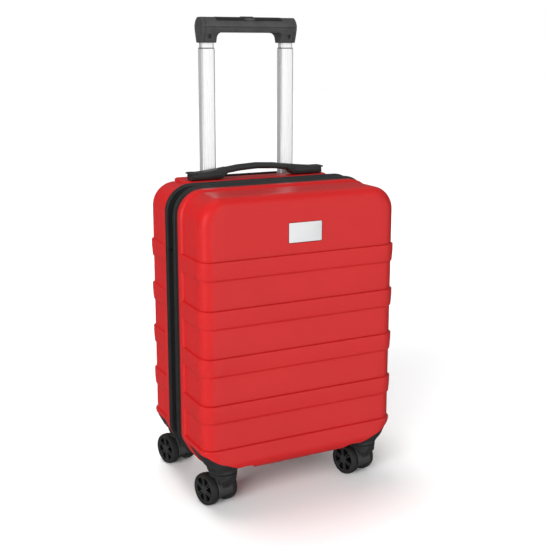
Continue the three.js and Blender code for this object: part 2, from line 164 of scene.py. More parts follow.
class Mat:
    """A node material: a Principled shader and a few shorthands for its inputs."""

    def __init__(self, name, metallic=0.0, roughness=0.5, **sockets):
        self.m = bpy.data.materials.new(name)
        self.m.use_nodes = True
        self.t = self.m.node_tree
        self.b = self.t.nodes["Principled BSDF"]
        self.b.inputs["Metallic"].default_value = metallic
        self.b.inputs["Roughness"].default_value = roughness
        for k, v in sockets.items():
            self.b.inputs[k.replace("_", " ")].default_value = v

    def node(self, kind, **props):
        n = self.t.nodes.new(kind)
        for k, v in props.items():
            setattr(n, k, v)
        return n

    def link(self, a, b):
        self.t.links.new(a, b)

    def coords(self, scale=(1, 1, 1)):
        tc = self.node("ShaderNodeTexCoord")
        mp = self.node("ShaderNodeMapping")
        mp.inputs["Scale"].default_value = scale
        self.link(tc.outputs["Object"], mp.inputs["Vector"])
        return mp.outputs["Vector"]

    def noise(self, vec, scale, detail=3, rough=0.5):
        n = self.node("ShaderNodeTexNoise")
        n.inputs["Scale"].default_value = scale
        n.inputs["Detail"].default_value = detail
        n.inputs["Roughness"].default_value = rough
        self.link(vec, n.inputs["Vector"])
        return n.outputs["Fac"]

    def voronoi(self, vec, scale, feature="F1"):
        n = self.node("ShaderNodeTexVoronoi", feature=feature)
        n.inputs["Scale"].default_value = scale
        self.link(vec, n.inputs["Vector"])
        return n.outputs["Distance"]

    def wave(self, vec, scale, direction, profile="SIN", distortion=0.0):
        n = self.node("ShaderNodeTexWave", wave_type="BANDS", bands_direction=direction, wave_profile=profile)
        n.inputs["Scale"].default_value = scale
        n.inputs["Distortion"].default_value = distortion
        self.link(vec, n.inputs["Vector"])
        return n.outputs["Fac"]

    def ramp(self, fac, stops):
        n = self.node("ShaderNodeValToRGB")
        e = n.color_ramp.elements
        while len(e) < len(stops):
            e.new(0.5)
        for el, (p, c) in zip(e, stops):
            el.position = p
            el.color = (*c, 1) if len(c) == 3 else c
        self.link(fac, n.inputs["Fac"])
        return n.outputs["Color"]

    def span(self, fac, lo, hi, a=0.0, b=1.0):
        n = self.node("ShaderNodeMapRange")
        for k, v in (("From Min", a), ("From Max", b), ("To Min", lo), ("To Max", hi)):
            n.inputs[k].default_value = v
        self.link(fac, n.inputs["Value"])
        return n.outputs["Result"]

    def math(self, op, a, b):
        n = self.node("ShaderNodeMath", operation=op)
        for i, v in enumerate((a, b)):
            if isinstance(v, (int, float)):
                n.inputs[i].default_value = v
            else:
                self.link(v, n.inputs[i])
        return n.outputs[0]

    def color(self, out):
        self.link(out, self.b.inputs["Base Color"])

    def rough(self, out):
        self.link(out, self.b.inputs["Roughness"])

    def bump(self, height, strength, distance, chain=None):
        n = self.node("ShaderNodeBump")
        n.inputs["Strength"].default_value = strength
        n.inputs["Distance"].default_value = distance
        self.link(height, n.inputs["Height"])
        if chain is not None:
            self.link(chain, n.inputs["Normal"])
        self.link(n.outputs["Normal"], self.b.inputs["Normal"])
        return n.outputs["Normal"]


def mat_abs():
    m = Mat("red_abs", roughness=0.38, Specular_IOR_Level=0.40)
    v = m.coords()
    blotch = m.noise(v, 9, 4, 0.6)
    m.color(m.ramp(blotch, [(0.30, (0.405, 0.0066, 0.0072)), (0.70, (0.430, 0.0080, 0.0086))]))
    grain = m.voronoi(v, 950)
    fine = m.noise(v, 2600, 2, 0.6)
    wavy = m.noise(v, 28, 2, 0.4)
    m.rough(m.span(m.noise(v, 120, 3, 0.6), 0.30, 0.42))
    n = m.bump(wavy, 0.10, 0.0006)
    n = m.bump(grain, 0.16, 0.00012, n)
    m.bump(fine, 0.12, 0.00006, n)
    return m.m


def mat_black(name, base=0.016, rough=(0.36, 0.5), grain=1400, strength=0.25):
    m = Mat(name, roughness=0.45)
    v = m.coords()
    t = m.noise(v, 60, 4, 0.6)
    m.color(m.ramp(t, [(0.3, (base * 0.85, base * 0.85, base * 0.88)), (0.7, (base * 1.3, base * 1.3, base * 1.32))]))
    m.rough(m.span(m.noise(v, 300, 3, 0.6), *rough))
    n = m.bump(m.voronoi(v, grain), strength, 0.0001)
    m.bump(m.noise(v, 35, 2, 0.4), 0.08, 0.0005, n)
    return m.m


def mat_rubber():
    m = Mat("wheel_tread", roughness=0.66, Specular_IOR_Level=0.32)
    v = m.coords()
    t = m.noise(v, 180, 5, 0.7)
    m.color(m.ramp(t, [(0.25, (0.0105, 0.0102, 0.0098)), (0.75, (0.020, 0.0195, 0.019))]))
    m.rough(m.span(m.noise(v, 400, 3, 0.6), 0.5, 0.72))
    m.bump(m.noise(v, 1500, 3, 0.6), 0.3, 0.0001)
    return m.m


def mat_alu():
    m = Mat("anodised_aluminium", metallic=0.72, roughness=0.3, Anisotropic=0.4)
    v = m.coords((1, 1, 0.004))
    lines = m.noise(v, 2400, 3, 0.7)
    m.color(m.ramp(lines, [(0.3, (0.80, 0.805, 0.81)), (0.7, (0.90, 0.905, 0.91))]))
    m.rough(m.span(lines, 0.22, 0.36))
    m.bump(lines, 0.12, 0.00004)
    return m.m


def mat_steel(name, tone, rough, scale=(1, 1, 1), freq=1800):
    m = Mat(name, metallic=1.0, roughness=0.3)
    v = m.coords(scale)
    t = m.noise(v, freq, 3, 0.7)
    m.color(m.ramp(t, [(0.3, tuple(c * 0.92 for c in tone)), (0.7, tone)]))
    m.rough(m.span(t, rough[0], rough[1]))
    m.bump(t, 0.1, 0.00004)
    return m.m


def mat_weave(name, base, pitch, sheen=0.3, strength=0.6, warp=("X", "Z")):
    m = Mat(name, roughness=0.85, Sheen_Weight=sheen, Sheen_Roughness=0.5)
    v = m.coords()
    s = 1 / pitch / 6.2832 * 2 * math.pi / 2
    a = m.wave(v, s, warp[0])
    b = m.wave(v, s, warp[1])
    c = m.wave(v, s, "Y")
    w = m.math("MAXIMUM", m.math("MULTIPLY", a, b), m.math("MULTIPLY", c, b))
    t = m.noise(v, 240, 4, 0.6)
    lo = tuple(x * 0.55 for x in base)
    hi = tuple(x * 1.5 for x in base)
    m.color(m.ramp(m.math("MULTIPLY", m.math("ADD", w, 0.35), t), [(0.05, lo), (0.75, hi)]))
    m.rough(m.span(w, 0.95, 0.75))
    m.bump(w, strength, pitch * 0.35)
    return m.m


RED = mat_abs()
BLACK = mat_black("black_trim", 0.0105, (0.34, 0.46), 1800, 0.16)
HANDLE = mat_black("handle_plastic", 0.013, (0.38, 0.52), 1500, 0.35)
GRIP = mat_black("grip_plastic", 0.036, (0.36, 0.48), 1500, 0.25)
INSERT = mat_black("grip_insert", 0.008, (0.42, 0.55), 1500, 0.3)
# the mudguard's copy of the caster plastic: twice as light, which is painted light on the guard where it faces up and
# forward; its lower roughness is its own gloss
GUARD_PAINTED_LIGHT = mat_black("mudguard_plastic_painted_light", 0.026, (0.30, 0.40), 1500, 0.15)
CASTER = mat_black("caster_plastic", 0.013, (0.34, 0.46), 1500, 0.2)
HUB = mat_black("hub_plastic", 0.020, (0.34, 0.46), 1300, 0.2)
PIT = mat_black("hub_shadow", 0.0015, (0.8, 0.9), 900, 0.1)
RUBBER = mat_rubber()
ALU = mat_alu()
PLATE = mat_steel("plate_metal", (0.86, 0.865, 0.87), (0.16, 0.26), (0.01, 1, 1), 2600)
NICKEL = mat_steel("zip_metal", (0.42, 0.42, 0.43), (0.24, 0.36))
AXLE = mat_steel("axle_steel", (0.55, 0.55, 0.56), (0.25, 0.38), (0.02, 1, 1))
DARK_STEEL = mat_steel("blackened_steel", (0.075, 0.075, 0.078), (0.35, 0.45))
TAPE = mat_weave("zip_tape_weave", (0.0028, 0.0028, 0.0030), 0.0009, 0.0)
TEETH = mat_black("zip_teeth", 0.0025, (0.5, 0.6), 1500, 0.1)
CLOTH = mat_weave("lining_cloth", (0.055, 0.056, 0.062), 0.0007, 0.35)
WEB = mat_weave("strap_webbing", (0.022, 0.022, 0.024), 0.0016, 0.3, 0.8)
DIAL = mat_black("dial_plastic", 0.45, (0.35, 0.45), 1500, 0.15)
INK = mat_black("dial_ink", 0.012, (0.5, 0.6), 1500, 0.05)

# ------------------------------------------------------------------ mesh helpers


def put(name, verts, faces, mat, body, replaces=(), sharp=32.0, mm=True, smooth=True):
    """Makes a mesh object from design-frame millimetres and lets it ride on a body."""
    me = bpy.data.meshes.new(name)
    vs = [W(v) for v in verts] if mm else [tuple(v) for v in verts]
    me.from_pydata(vs, [], [tuple(int(i) for i in f) for f in faces])
    me.validate()
    o = bpy.data.objects.new(name, me)
    scene.collection.objects.link(o)
    bm = bmesh.new()
    bm.from_mesh(me)
    bmesh.ops.recalc_face_normals(bm, faces=bm.faces)
    bm.to_mesh(me)
    bm.free()
    me.materials.append(mat)
    if smooth:
        shade(o, sharp)
    claim(o, body, replaces)
    return o


def claim(o, body, replaces=()):
    if body:
        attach(o, body)
    if replaces:
        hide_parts(*replaces)


def shade(o, sharp=32.0):
    bm = bmesh.new()
    bm.from_mesh(o.data)
    lim = math.radians(sharp)
    for f in bm.faces:
        f.smooth = True
    for e in bm.edges:
        if len(e.link_faces) == 2:
            e.smooth = e.calc_face_angle(0) < lim
    bm.to_mesh(o.data)
    bm.free()


def apply_mods(o):
    dg = bpy.context.evaluated_depsgraph_get()
    e = o.evaluated_get(dg)
    me = bpy.data.meshes.new_from_object(e)
    old = o.data
    o.modifiers.clear()
    o.data = me
    bpy.data.meshes.remove(old)


def cut(o, cutters, op="DIFFERENCE", solver="EXACT"):
    for c in cutters:
        b = o.modifiers.new("b", "BOOLEAN")
        b.object, b.operation, b.solver = c, op, solver
    apply_mods(o)
    for c in cutters:
        bpy.data.objects.remove(c, do_unlink=True)


def bevel(o, width, segments=2, angle=30.0, sharp=32.0):
    b = o.modifiers.new("v", "BEVEL")
    b.width, b.segments, b.limit_method, b.angle_limit = width, segments, "ANGLE", math.radians(angle)
    b.harden_normals = False
    apply_mods(o)
    shade(o, sharp)


def temp(verts, faces, mm=True):
    me = bpy.data.meshes.new("tmp")
    me.from_pydata([W(v) for v in verts] if mm else verts, [], [tuple(f) for f in faces])
    bm = bmesh.new()
    bm.from_mesh(me)
    bmesh.ops.recalc_face_normals(bm, faces=bm.faces)
    bm.to_mesh(me)
    bm.free()
    o = bpy.data.objects.new("tmp", me)
    scene.collection.objects.link(o)
    return o


def prism(pts, axis, lo, hi):
    """Vertices and faces of a prism: pts are the two other coordinates, in X, Y, Z order."""
    n = len(pts)
    v = []
    for h in (lo, hi):
        for a, b in pts:
            v.append({"x": (h, a, b), "y": (a, h, b), "z": (a, b, h)}[axis])
    f = [tuple(range(n - 1, -1, -1)), tuple(range(n, 2 * n))]
    f += [(i, (i + 1) % n, n + (i + 1) % n, n + i) for i in range(n)]
    return v, f


def rrect(w, h, r, n=6, cx=0.0, cy=0.0):
    p = []
    for sx, sy, a0 in ((1, -1, -90), (1, 1, 0), (-1, 1, 90), (-1, -1, 180)):
        for i in range(n + 1):
            a = math.radians(a0 + 90 * i / n)
            p.append((cx + sx * (w / 2 - r) + r * math.cos(a), cy + sy * (h / 2 - r) + r * math.sin(a)))
    return p


def ring_faces(rows, cols, close_rows=False, close_cols=True):
    f = []
    for j in range(rows if close_rows else rows - 1):
        for i in range(cols if close_cols else cols - 1):
            a, b = j * cols + i, j * cols + (i + 1) % cols
            c, d = ((j + 1) % rows) * cols + (i + 1) % cols, ((j + 1) % rows) * cols + i
            f.append((a, b, c, d))
    return f


def lathe(profile, n, origin, axis, name, mat, body, replaces=(), closed=True, sharp=32.0):
    """profile: (r, h) pairs in mm, turned about the axis through origin (design frame, mm)."""
    ax = Vector(axis).normalized()
    e1 = ax.orthogonal().normalized()
    e2 = ax.cross(e1)
    v = []
    for r, h in profile:
        for i in range(n):
            a = 2 * math.pi * i / n
            v.append(tuple(Vector(origin) + ax * h + (e1 * math.cos(a) + e2 * math.sin(a)) * r))
    f = ring_faces(len(profile), n, close_rows=closed)
    if not closed:
        f += [tuple(range(n))[::-1], tuple(range((len(profile) - 1) * n, len(profile) * n))]
    return put(name, v, f, mat, body, replaces, sharp)


def sstep(t):
    t = np.clip(t, 0, 1)
    return t * t * (3 - 2 * t)


# ------------------------------------------------------------------ outline of the case (front view, mm)
HALF_W, BOTTOM_Z, TOP_Z, TOP_R = 164.65, 58.0, 480.0, 40.0
HALF_D, BAND, FACE_R = 112.6, 3.0, 18.0
LOW_R, LOW_SLOPE, LOW_RUN = 28.0, math.radians(62), 18.0
BAND_TOPS, BAND_H, LOW_TOP = (387.5, 315.8, 244.0, 172.4), 29.0, 100.7
Y_RIM_F, Y_TAPE_F, Y_ZIP, Y_TAPE_R, Y_RIM_R = -19.5, -5.5, 6.0, 17.5, 31.5
RIM_W = 14.0
HINGE_Z0, HINGE_Z1 = 139.0, 382.0
TUBE_X, TUBE_Y = 69.5, 87.7
NCOL = 27                                   # columns across the straight top and bottom

side_z = set()
for t in BAND_TOPS + (LOW_TOP + 2.0,):
    for d in (-1.6, -1.1, -0.75, -0.4, -0.05, 0.3, 0.8, 1.3, 1.9, 2.6, 3.4):
        side_z.add(round(t + d, 3))
for t in BAND_TOPS:
    for d in (-1.0, -0.4, 0.3, 0.9, 1.6, 2.2, 2.9, 6.5):
        side_z.add(round(t - BAND_H + d, 3))
side_z = sorted(side_z)
Z_LOW_END = BOTTOM_Z + LOW_R * (1 - math.cos(LOW_SLOPE)) + LOW_RUN * math.sin(LOW_SLOPE) + LOW_R * math.cos(LOW_SLOPE)
full = [z for z in side_z if z > Z_LOW_END + 0.4]
for z in np.arange(112, 440, 8.5):
    if min(abs(z - q) for q in side_z) > 3.0:
        full.append(float(z))
side_z = sorted(full)


def half_outline():
    """Right half from the bottom centre line to the top centre line: points and outward normals."""
    s = LOW_SLOPE
    x0 = HALF_W - LOW_R - LOW_RUN * math.cos(s)
    P, N = [], []
    n1 = 10
    for i in range(n1 + 1):
        a = s * i / n1
        P.append((x0 + LOW_R * math.sin(a), BOTTOM_Z + LOW_R * (1 - math.cos(a))))
        N.append((math.sin(a), -math.cos(a)))
    px, pz = P[-1]
    for i in range(1, 5):
        P.append((px + LOW_RUN * math.cos(s) * i / 5, pz + LOW_RUN * math.sin(s) * i / 5))
        N.append((math.sin(s), -math.cos(s)))
    qx, qz = px + LOW_RUN * math.cos(s), pz + LOW_RUN * math.sin(s)
    for i in range(0, 8):
        a = s + (math.pi / 2 - s) * i / 7
        P.append((qx + LOW_R * (math.sin(a) - math.sin(s)), qz + LOW_R * (math.cos(s) - math.cos(a))))
        N.append((math.sin(a), -math.cos(a)))
    for z in side_z:
        P.append((HALF_W, z))
        N.append((1, 0))
    for i in range(0, 17):
        a = math.pi / 2 * i / 16
        P.append((HALF_W - TOP_R + TOP_R * math.cos(a), TOP_Z - TOP_R + TOP_R * math.sin(a)))
        N.append((math.cos(a), math.sin(a)))
    return P, N


HP, HN = half_outline()
HP, HN = np.array(HP), np.array(HN)
K = len(HP)                                  # rows of one side
LP, LN = HP * [-1, 1], HN * [-1, 1]
bot_x = np.linspace(LP[0][0], HP[0][0], NCOL)[1:-1]
top_x = np.linspace(HP[-1][0], LP[-1][0], NCOL)[1:-1]
LOOP_P = np.vstack([np.c_[bot_x, np.full(NCOL - 2, BOTTOM_Z)], HP, np.c_[top_x, np.full(NCOL - 2, TOP_Z)], LP[::-1]])
LOOP_N = np.vstack([np.tile([0, -1.0], (NCOL - 2, 1)), HN, np.tile([0, 1.0], (NCOL - 2, 1)), LN[::-1]])
NL = len(LOOP_P)
I_R0 = NCOL - 2                              # first index of the right side
I_T0 = I_R0 + K                              # first index of the top's inner points
I_L0 = I_T0 + NCOL - 2                       # first index of the left side, from its top


def band_mask(z):
    """1 on a raised band, 0 in a recess, with soft 45 degree flanks."""
    z = np.asarray(z, float)
    m = np.zeros_like(z)
    for t in BAND_TOPS:
        m = np.maximum(m, sstep((t + 0.2 - z) / 1.3) * sstep((z - (t - BAND_H) + 0.9) / 3.6) * (0.58 + 0.42 * np.clip((z - (t - BAND_H)) / 17.0, 0, 1)))
    m = np.maximum(m, sstep((LOW_TOP + 2.2 - z) / 1.3))
    for t in BAND_TOPS + (LOW_TOP + 2.0,):      # a fine groove at the foot of each upper step
        m = m - 0.80 * np.exp(-((z - t - 1.3) / 1.1) ** 2)
    return m


def rim_mask(d):
    """d is the distance from the rim; the rim strip is raised."""
    return sstep((RIM_W + 1.6 - d) / 3.2)


def shell_surface(face, inset=0.0, bands=True, wobble=None, y_rim=None, extra_r=0.0):
    """Quads of a half shell. face -1 is the lid, +1 the back. Returns verts (mm) and faces."""
    rim = (Y_RIM_F - 0.3 if face < 0 else Y_RIM_R + 0.3) if y_rim is None else y_rim
    y_face = HALF_D - BAND - inset            # recess level of the face
    r = FACE_R - inset
    depth = y_face - r - abs(rim)             # straight run from the rim to the fillet
    rs = [0, 0.35, 1.2, 5.0, 9.0, 12.0, 12.8, 13.6, 14.4, 15.2, 16.0]
    rs = [d for d in rs if d < depth - 4]
    rs += list(np.linspace(rs[-1], depth, 8)[1:])
    prof = [(0.0, d, 0.0) for d in rs]        # inset along the normal, distance from the rim, angle
    nf = 9
    for i in range(1, nf + 1):
        a = math.pi / 2 * i / nf
        prof.append((r * (1 - math.cos(a)), depth + r * math.sin(a), a))
    V = []
    for ins, d, a in prof:
        z0 = LOOP_P[:, 1]
        h = np.zeros(NL)
        if bands:
            h = np.maximum(band_mask(z0), rim_mask(d)) * BAND
            lip = 0.9 * (1 - min(1.0, d / 1.2)) ** 2      # the rim's edge is rolled in slightly
            h = h - lip
        base = -BAND - inset - ins
        off = base + h * math.cos(a)
        x = LOOP_P[:, 0] + LOOP_N[:, 0] * off
        z = LOOP_P[:, 1] + LOOP_N[:, 1] * off
        y = (abs(rim) + d + h * math.sin(a)) * face
        V.append(np.c_[x, np.broadcast_to(y, (NL,)), z])
    rows = len(prof)
    V = np.vstack(V)
    F = ring_faces(rows, NL)
    # the face: rows from the bottom edge up to the top edge
    last = (rows - 1) * NL
    base_n = len(V)
    extra = []
    grid = np.zeros((K, NCOL), int)
    for k in range(K):
        ir, il = last + I_R0 + k, last + I_L0 + (K - 1 - k)
        grid[k, 0], grid[k, -1] = il, ir
        if k == 0:
            grid[k, 1:-1] = last + np.arange(NCOL - 2)
        elif k == K - 1:
            grid[k, 1:-1] = last + I_T0 + np.arange(NCOL - 2)[::-1]
        else:
            a, b = V[il], V[ir]
            for c in range(1, NCOL - 1):
                grid[k, c] = base_n + len(extra)
                extra.append(a + (b - a) * c / (NCOL - 1))
    V = np.vstack([V, np.array(extra)])
    for k in range(K - 1):
        for c in range(NCOL - 1):
            F.append((grid[k, c], grid[k, c + 1], grid[k + 1, c + 1], grid[k + 1, c]))
    if wobble is not None:
        V = wobble(V)
    return V, F


CORNER = [(76, 40), (176, 40), (176, 99), (165, 95.5), (157, 92), (148, 86), (138, 80.5), (126, 76),
          (116, 71), (106, 67.5), (96, 68), (86, 68), (80, 65.5), (76, 60.5)]


def spline(pts, n=5):
    """Catmull-Rom through pts, open."""
    p = [Vector((a, b, 0)) for a, b in pts]
    out = []
    for i in range(len(p) - 1):
        p0, p1, p2, p3 = p[max(i - 1, 0)], p[i], p[i + 1], p[min(i + 2, len(p) - 1)]
        for k in range(n):
            t = k / n
            q = 0.5 * ((2 * p1) + (p2 - p0) * t + (2 * p0 - 5 * p1 + 4 * p2 - p3) * t * t + (3 * p1 - p0 - 3 * p2 + p3) * t ** 3)
            out.append((q.x, q.y))
    out.append(pts[-1])
    return out


CORNER_S = CORNER[:3] + spline(CORNER[3:], 4)


def corner_cutter(side, face, grow=0.15):
    pts = [(side * x, z + (grow if z > 50 else 0)) for x, z in CORNER_S]
    if side < 0:
        pts = pts[::-1]
    lo, hi = (-140, -51.7) if face < 0 else (51.7, 140)
    return temp(*prism(pts, "y", lo, hi))


def make_shell(name, face, body, node):
    v, f = shell_surface(face)
    o = put(name, v, f, RED, body, (node,), smooth=False)
    s = o.modifiers.new("t", "SOLIDIFY")
    s.thickness, s.offset, s.use_even_offset = 0.0026, -1.0, True
    apply_mods(o)
    cutters = [corner_cutter(sx, face) for sx in (-1, 1)]
    if face < 0:
        cutters.append(temp(*prism(rrect(57.0, 31.6, 2.4, 6, 3, 419), "y", -120, -108.2)))
    cut(o, cutters, solver="MANIFOLD")
    return o


front = make_shell("front_shell_skin", -1, "lid", "front_shell")
shade(front, 35)
rear = make_shell("rear_shell_skin", 1, "root", "rear_shell")
# raised platform round the handle and the trolley, and the openings through it
pv, pf = [], []
for z, d in ((474.3, 0), (479.4, 0), (480.6, 0.4), (481.4, 1.2), (481.8, 2.6)):
    pv += [(x, y, z) for x, y in rrect(248 - 2 * d, 65 - 2 * d, 10 - d, 8, 0, 70.5)]
n = len(pv) // 5
pf = ring_faces(5, n) + [tuple(range(n))[::-1], tuple(range(4 * n, 5 * n))]
plat = put("rear_shell_platform", pv, pf, RED, "root", (), smooth=False)


def top_wells():
    """Openings for the trolley's cup and for the two handle posts."""
    return [temp(*prism(rrect(172.4, 27.8, 7.2, 6, 0, TUBE_Y), "z", 440, 500)),
            temp(*prism(rrect(10.6, 10.6, 1, 2, -92, 53), "z", 440, 500)),
            temp(*prism(rrect(10.6, 10.6, 1, 2, 92, 53), "z", 440, 500))]


cut(plat, top_wells())
shade(plat, 35)
cut(rear, [temp(*prism(rrect(242, 58, 7, 6, 0, 70.5), "z", 440, 500)),
           temp(*prism(rrect(24.8, 66.6, 4.2, 6, 29.9, 268), "x", HALF_W - 4, 200))], solver="MANIFOLD")
shade(rear, 35)


# ------------------------------------------------------------------ piping round both rims
def sweep_loop(section, name, mat, body, replaces, sharp=40.0, keep=None):
    """section: (normal offset, y) pairs swept round the outline."""
    v = []
    for off, y in section:
        x = LOOP_P[:, 0] + LOOP_N[:, 0] * off
        z = LOOP_P[:, 1] + LOOP_N[:, 1] * off
        v += list(zip(x, [y] * NL, z))
    f = ring_faces(len(section), NL, close_rows=True)
    return put(name, v, f, mat, body, replaces, sharp)


def piping_section(y0, y1, out):
    """A welt with a fat round bead and a flat flange towards the shell; out is the side of the shell."""
    w = y1 - y0
    bead = w * 0.62
    pts = []
    for i in range(15):
        a = math.pi * (1 - i / 14)
        pts.append((-1.6 + 4.6 * math.sin(a) ** 0.8, math.cos(a) * (bead / 2)))
    # along w: bead towards the zip, flange towards the shell
    if out < 0:
        cy = y1 - bead / 2
        flange = [(-3.9, y0), (-0.4, y0), (0.35, y0 + 0.6), (0.5, y0 + 1.6), (0.3, y1 - bead - 0.9), (-0.5, y1 - bead - 0.1)]
        p = flange + [(o, cy + q) for o, q in pts] + [(-3.9, y1)]
    else:
        cy = y0 + bead / 2
        flange = [(-0.5, y0 + bead + 0.1), (0.3, y0 + bead + 0.9), (0.5, y1 - 1.6), (0.35, y1 - 0.6), (-0.4, y1), (-3.9, y1)]
        p = [(-3.9, y0)] + [(o, cy + q) for o, q in pts] + flange
    return p


sweep_loop(piping_section(Y_RIM_F + 0.3, Y_TAPE_F - 0.3, -1), "front_piping_welt", BLACK, "lid", ("front_piping",))
rear_welt = sweep_loop(piping_section(Y_TAPE_R + 0.3, Y_RIM_R - 0.3, 1), "rear_piping_welt", BLACK, "root", ("rear_piping",))
cut(rear_welt, [temp(*prism(rrect(24.8, 66.6, 4.2, 6, 29.9, 268), "x", HALF_W - 9, 200))], solver="MANIFOLD")
shade(rear_welt, 40)


# ------------------------------------------------------------------ zip: two tapes and their teeth
def open_loop(z0, z1):
    """Indices of the loop points outside the hinge, in order from the hinge's top round to its bottom."""
    idx = []
    start = I_L0 + int(np.argmin(np.abs(LOOP_P[I_L0:, 1] - z0)))
    n_start = I_L0 + int(np.argmin(np.abs(LOOP_P[I_L0:, 1] - z1)))
    i = start
    while True:
        idx.append(i % NL)
        if i % NL == n_start:
            break
        i += 1
    return idx


ZIP_IDX = open_loop(HINGE_Z0, HINGE_Z1)


def tape(name, y0, y1, body, node):
    sec = [(-3.6, y0), (-1.5, y0), (-1.1, y0 + 0.5), (-1.0, (y0 + y1) / 2), (-1.1, y1 - 0.5), (-1.5, y1), (-3.6, y1)]
    v, m = [], len(ZIP_IDX)
    for off, y in sec:
        for i in ZIP_IDX:
            v.append((LOOP_P[i, 0] + LOOP_N[i, 0] * off, y, LOOP_P[i, 1] + LOOP_N[i, 1] * off))
    f = ring_faces(len(sec), m, close_rows=True, close_cols=False)
    f += [tuple(k * m for k in range(len(sec))), tuple(k * m + m - 1 for k in range(len(sec)))[::-1]]
    return put(name, v, f, TAPE, body, (node,), 50)


tape("front_zip_tape_weave", Y_TAPE_F, Y_ZIP - 0.2, "lid", "front_zip_tape")
tape("rear_zip_tape_weave", Y_ZIP + 0.2, Y_TAPE_R, "root", "rear_zip_tape")

path = np.array([LOOP_P[i] for i in ZIP_IDX])
norm = np.array([LOOP_N[i] for i in ZIP_IDX])
seg = np.r_[0, np.cumsum(np.hypot(*np.diff(path, axis=0).T))]
PITCH = 2.6


def teeth(name, side, body):
    """One half of the chain: bars that hook past the centre line, every PITCH."""
    V, F = [], []
    k0 = 0.0 if side < 0 else 0.5
    for k in range(int(seg[-1] / PITCH) - 1):
        s = (k + 0.75 + k0) * PITCH
        px, pz = np.interp(s, seg, path[:, 0]), np.interp(s, seg, path[:, 1])
        nx, nz = np.interp(s, seg, norm[:, 0]), np.interp(s, seg, norm[:, 1])
        l = math.hypot(nx, nz)
        nx, nz = nx / l, nz / l
        tx, tz = -nz, nx
        b = len(V)
        prof = [(-0.5, 2.9 * side), (0.35, 2.6 * side), (0.75, 1.2 * side), (0.7, -0.6 * side), (0.2, -1.1 * side), (-0.5, -0.9 * side)]
        for e in (-0.62, 0.62):
            for off, y in prof:
                V.append((px + nx * (off - 0.6) + tx * e, Y_ZIP + y, pz + nz * (off - 0.6) + tz * e))
        n = len(prof)
        F.append(tuple(b + i for i in range(n))[::-1])
        F.append(tuple(b + n + i for i in range(n)))
        F += [(b + i, b + (i + 1) % n, b + n + (i + 1) % n, b + n + i) for i in range(n)]
    return put(name, V, F, TEETH, body, (), 30)


teeth("front_zip_teeth", -1, "lid")
teeth("rear_zip_teeth", 1, "root")

# fabric hinge on the left side: a bowed strip across from the back to the lid
V, F = [], []
nz, ny = 60, 25
for j in range(nz):
    z = HINGE_Z0 - 2 + (HINGE_Z1 - HINGE_Z0 + 4) * j / (nz - 1)
    for i in range(ny):
        y = -5.9 + (17.9 + 5.9) * i / (ny - 1)
        t = (y - 6) / 12
        rib = 0.12 * math.sin(z * 1.7) * (1 - t * t) + 0.1 * math.sin(z * 0.31 + 1.3 * i)
        V.append((-HALF_W + 1.5 - 1.1 * (1 - t * t) + rib, y, z))
F = ring_faces(nz, ny, close_cols=False)
hinge = put("fabric_hinge", V, F, TAPE, None, (), 60)
sm = hinge.modifiers.new("t", "SOLIDIFY")
sm.thickness, sm.offset = 0.0011, -1.0
apply_mods(hinge)
shade(hinge, 60)
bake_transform(hinge)
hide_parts("hinge_tape")

# ------------------------------------------------------------------ name plate
v, f = prism(rrect(55.2, 29.8, 1.6, 5, 3, 419), "y", -109.5, -108.75)
n1 = 40
outl = np.array(rrect(55.2, 29.8, 1.6, 6, 0, 0))
V, F = [], []
rings = [(1.0, -108.75), (1.0, -109.36), (0.994, -109.44)] + [(q, None) for q in np.linspace(0.985, 0.02, n1)]
for q, y in rings:
    for a, b in outl:
        aa, bb = a * q if y is None or q < 1 else a, b * q if y is None or q < 1 else b
        yy = y if y is not None else -109.46 - 0.34 * (1 - (aa / 27.6) ** 2)
        V.append((3 + aa, yy, 419 + bb))
m1 = len(outl)
F = ring_faces(len(rings), m1) + [tuple(range(m1))[::-1], tuple(range((len(rings) - 1) * m1, len(rings) * m1))]
plate = put("name_plate_metal", V, F, PLATE, "lid", ("name_plate",), 50)


# ------------------------------------------------------------------ carry handle
def loft(sections, name, mat, body, replaces=(), sharp=38.0, caps=True):
    n = len(sections[0])
    v = [p for s in sections for p in s]
    f = ring_faces(len(sections), n)
    if caps:
        f += [tuple(range(n))[::-1], tuple(range((len(sections) - 1) * n, len(sections) * n))]
    return put(name, v, f, mat, body, replaces, sharp)


def superell(w, h, p, n, cy, cz, x, skew=0.0):
    out = []
    for i in range(n):
        a = 2 * math.pi * (i + 0.5) / n
        c, s = math.cos(a), math.sin(a)
        yy = abs(c) ** (2 / p) * math.copysign(w / 2, c)
        zz = abs(s) ** (2 / p) * math.copysign(h / 2, s)
        out.append((x + skew * (zz / h), cy + yy, cz + zz))
    return out


HY = 53.0


def top_line(x):
    return np.interp(abs(x), [0, 32, 62, 88, 112.5, 116.8], [505, 503.3, 499.0, 496.0, 494.0, 491.6])


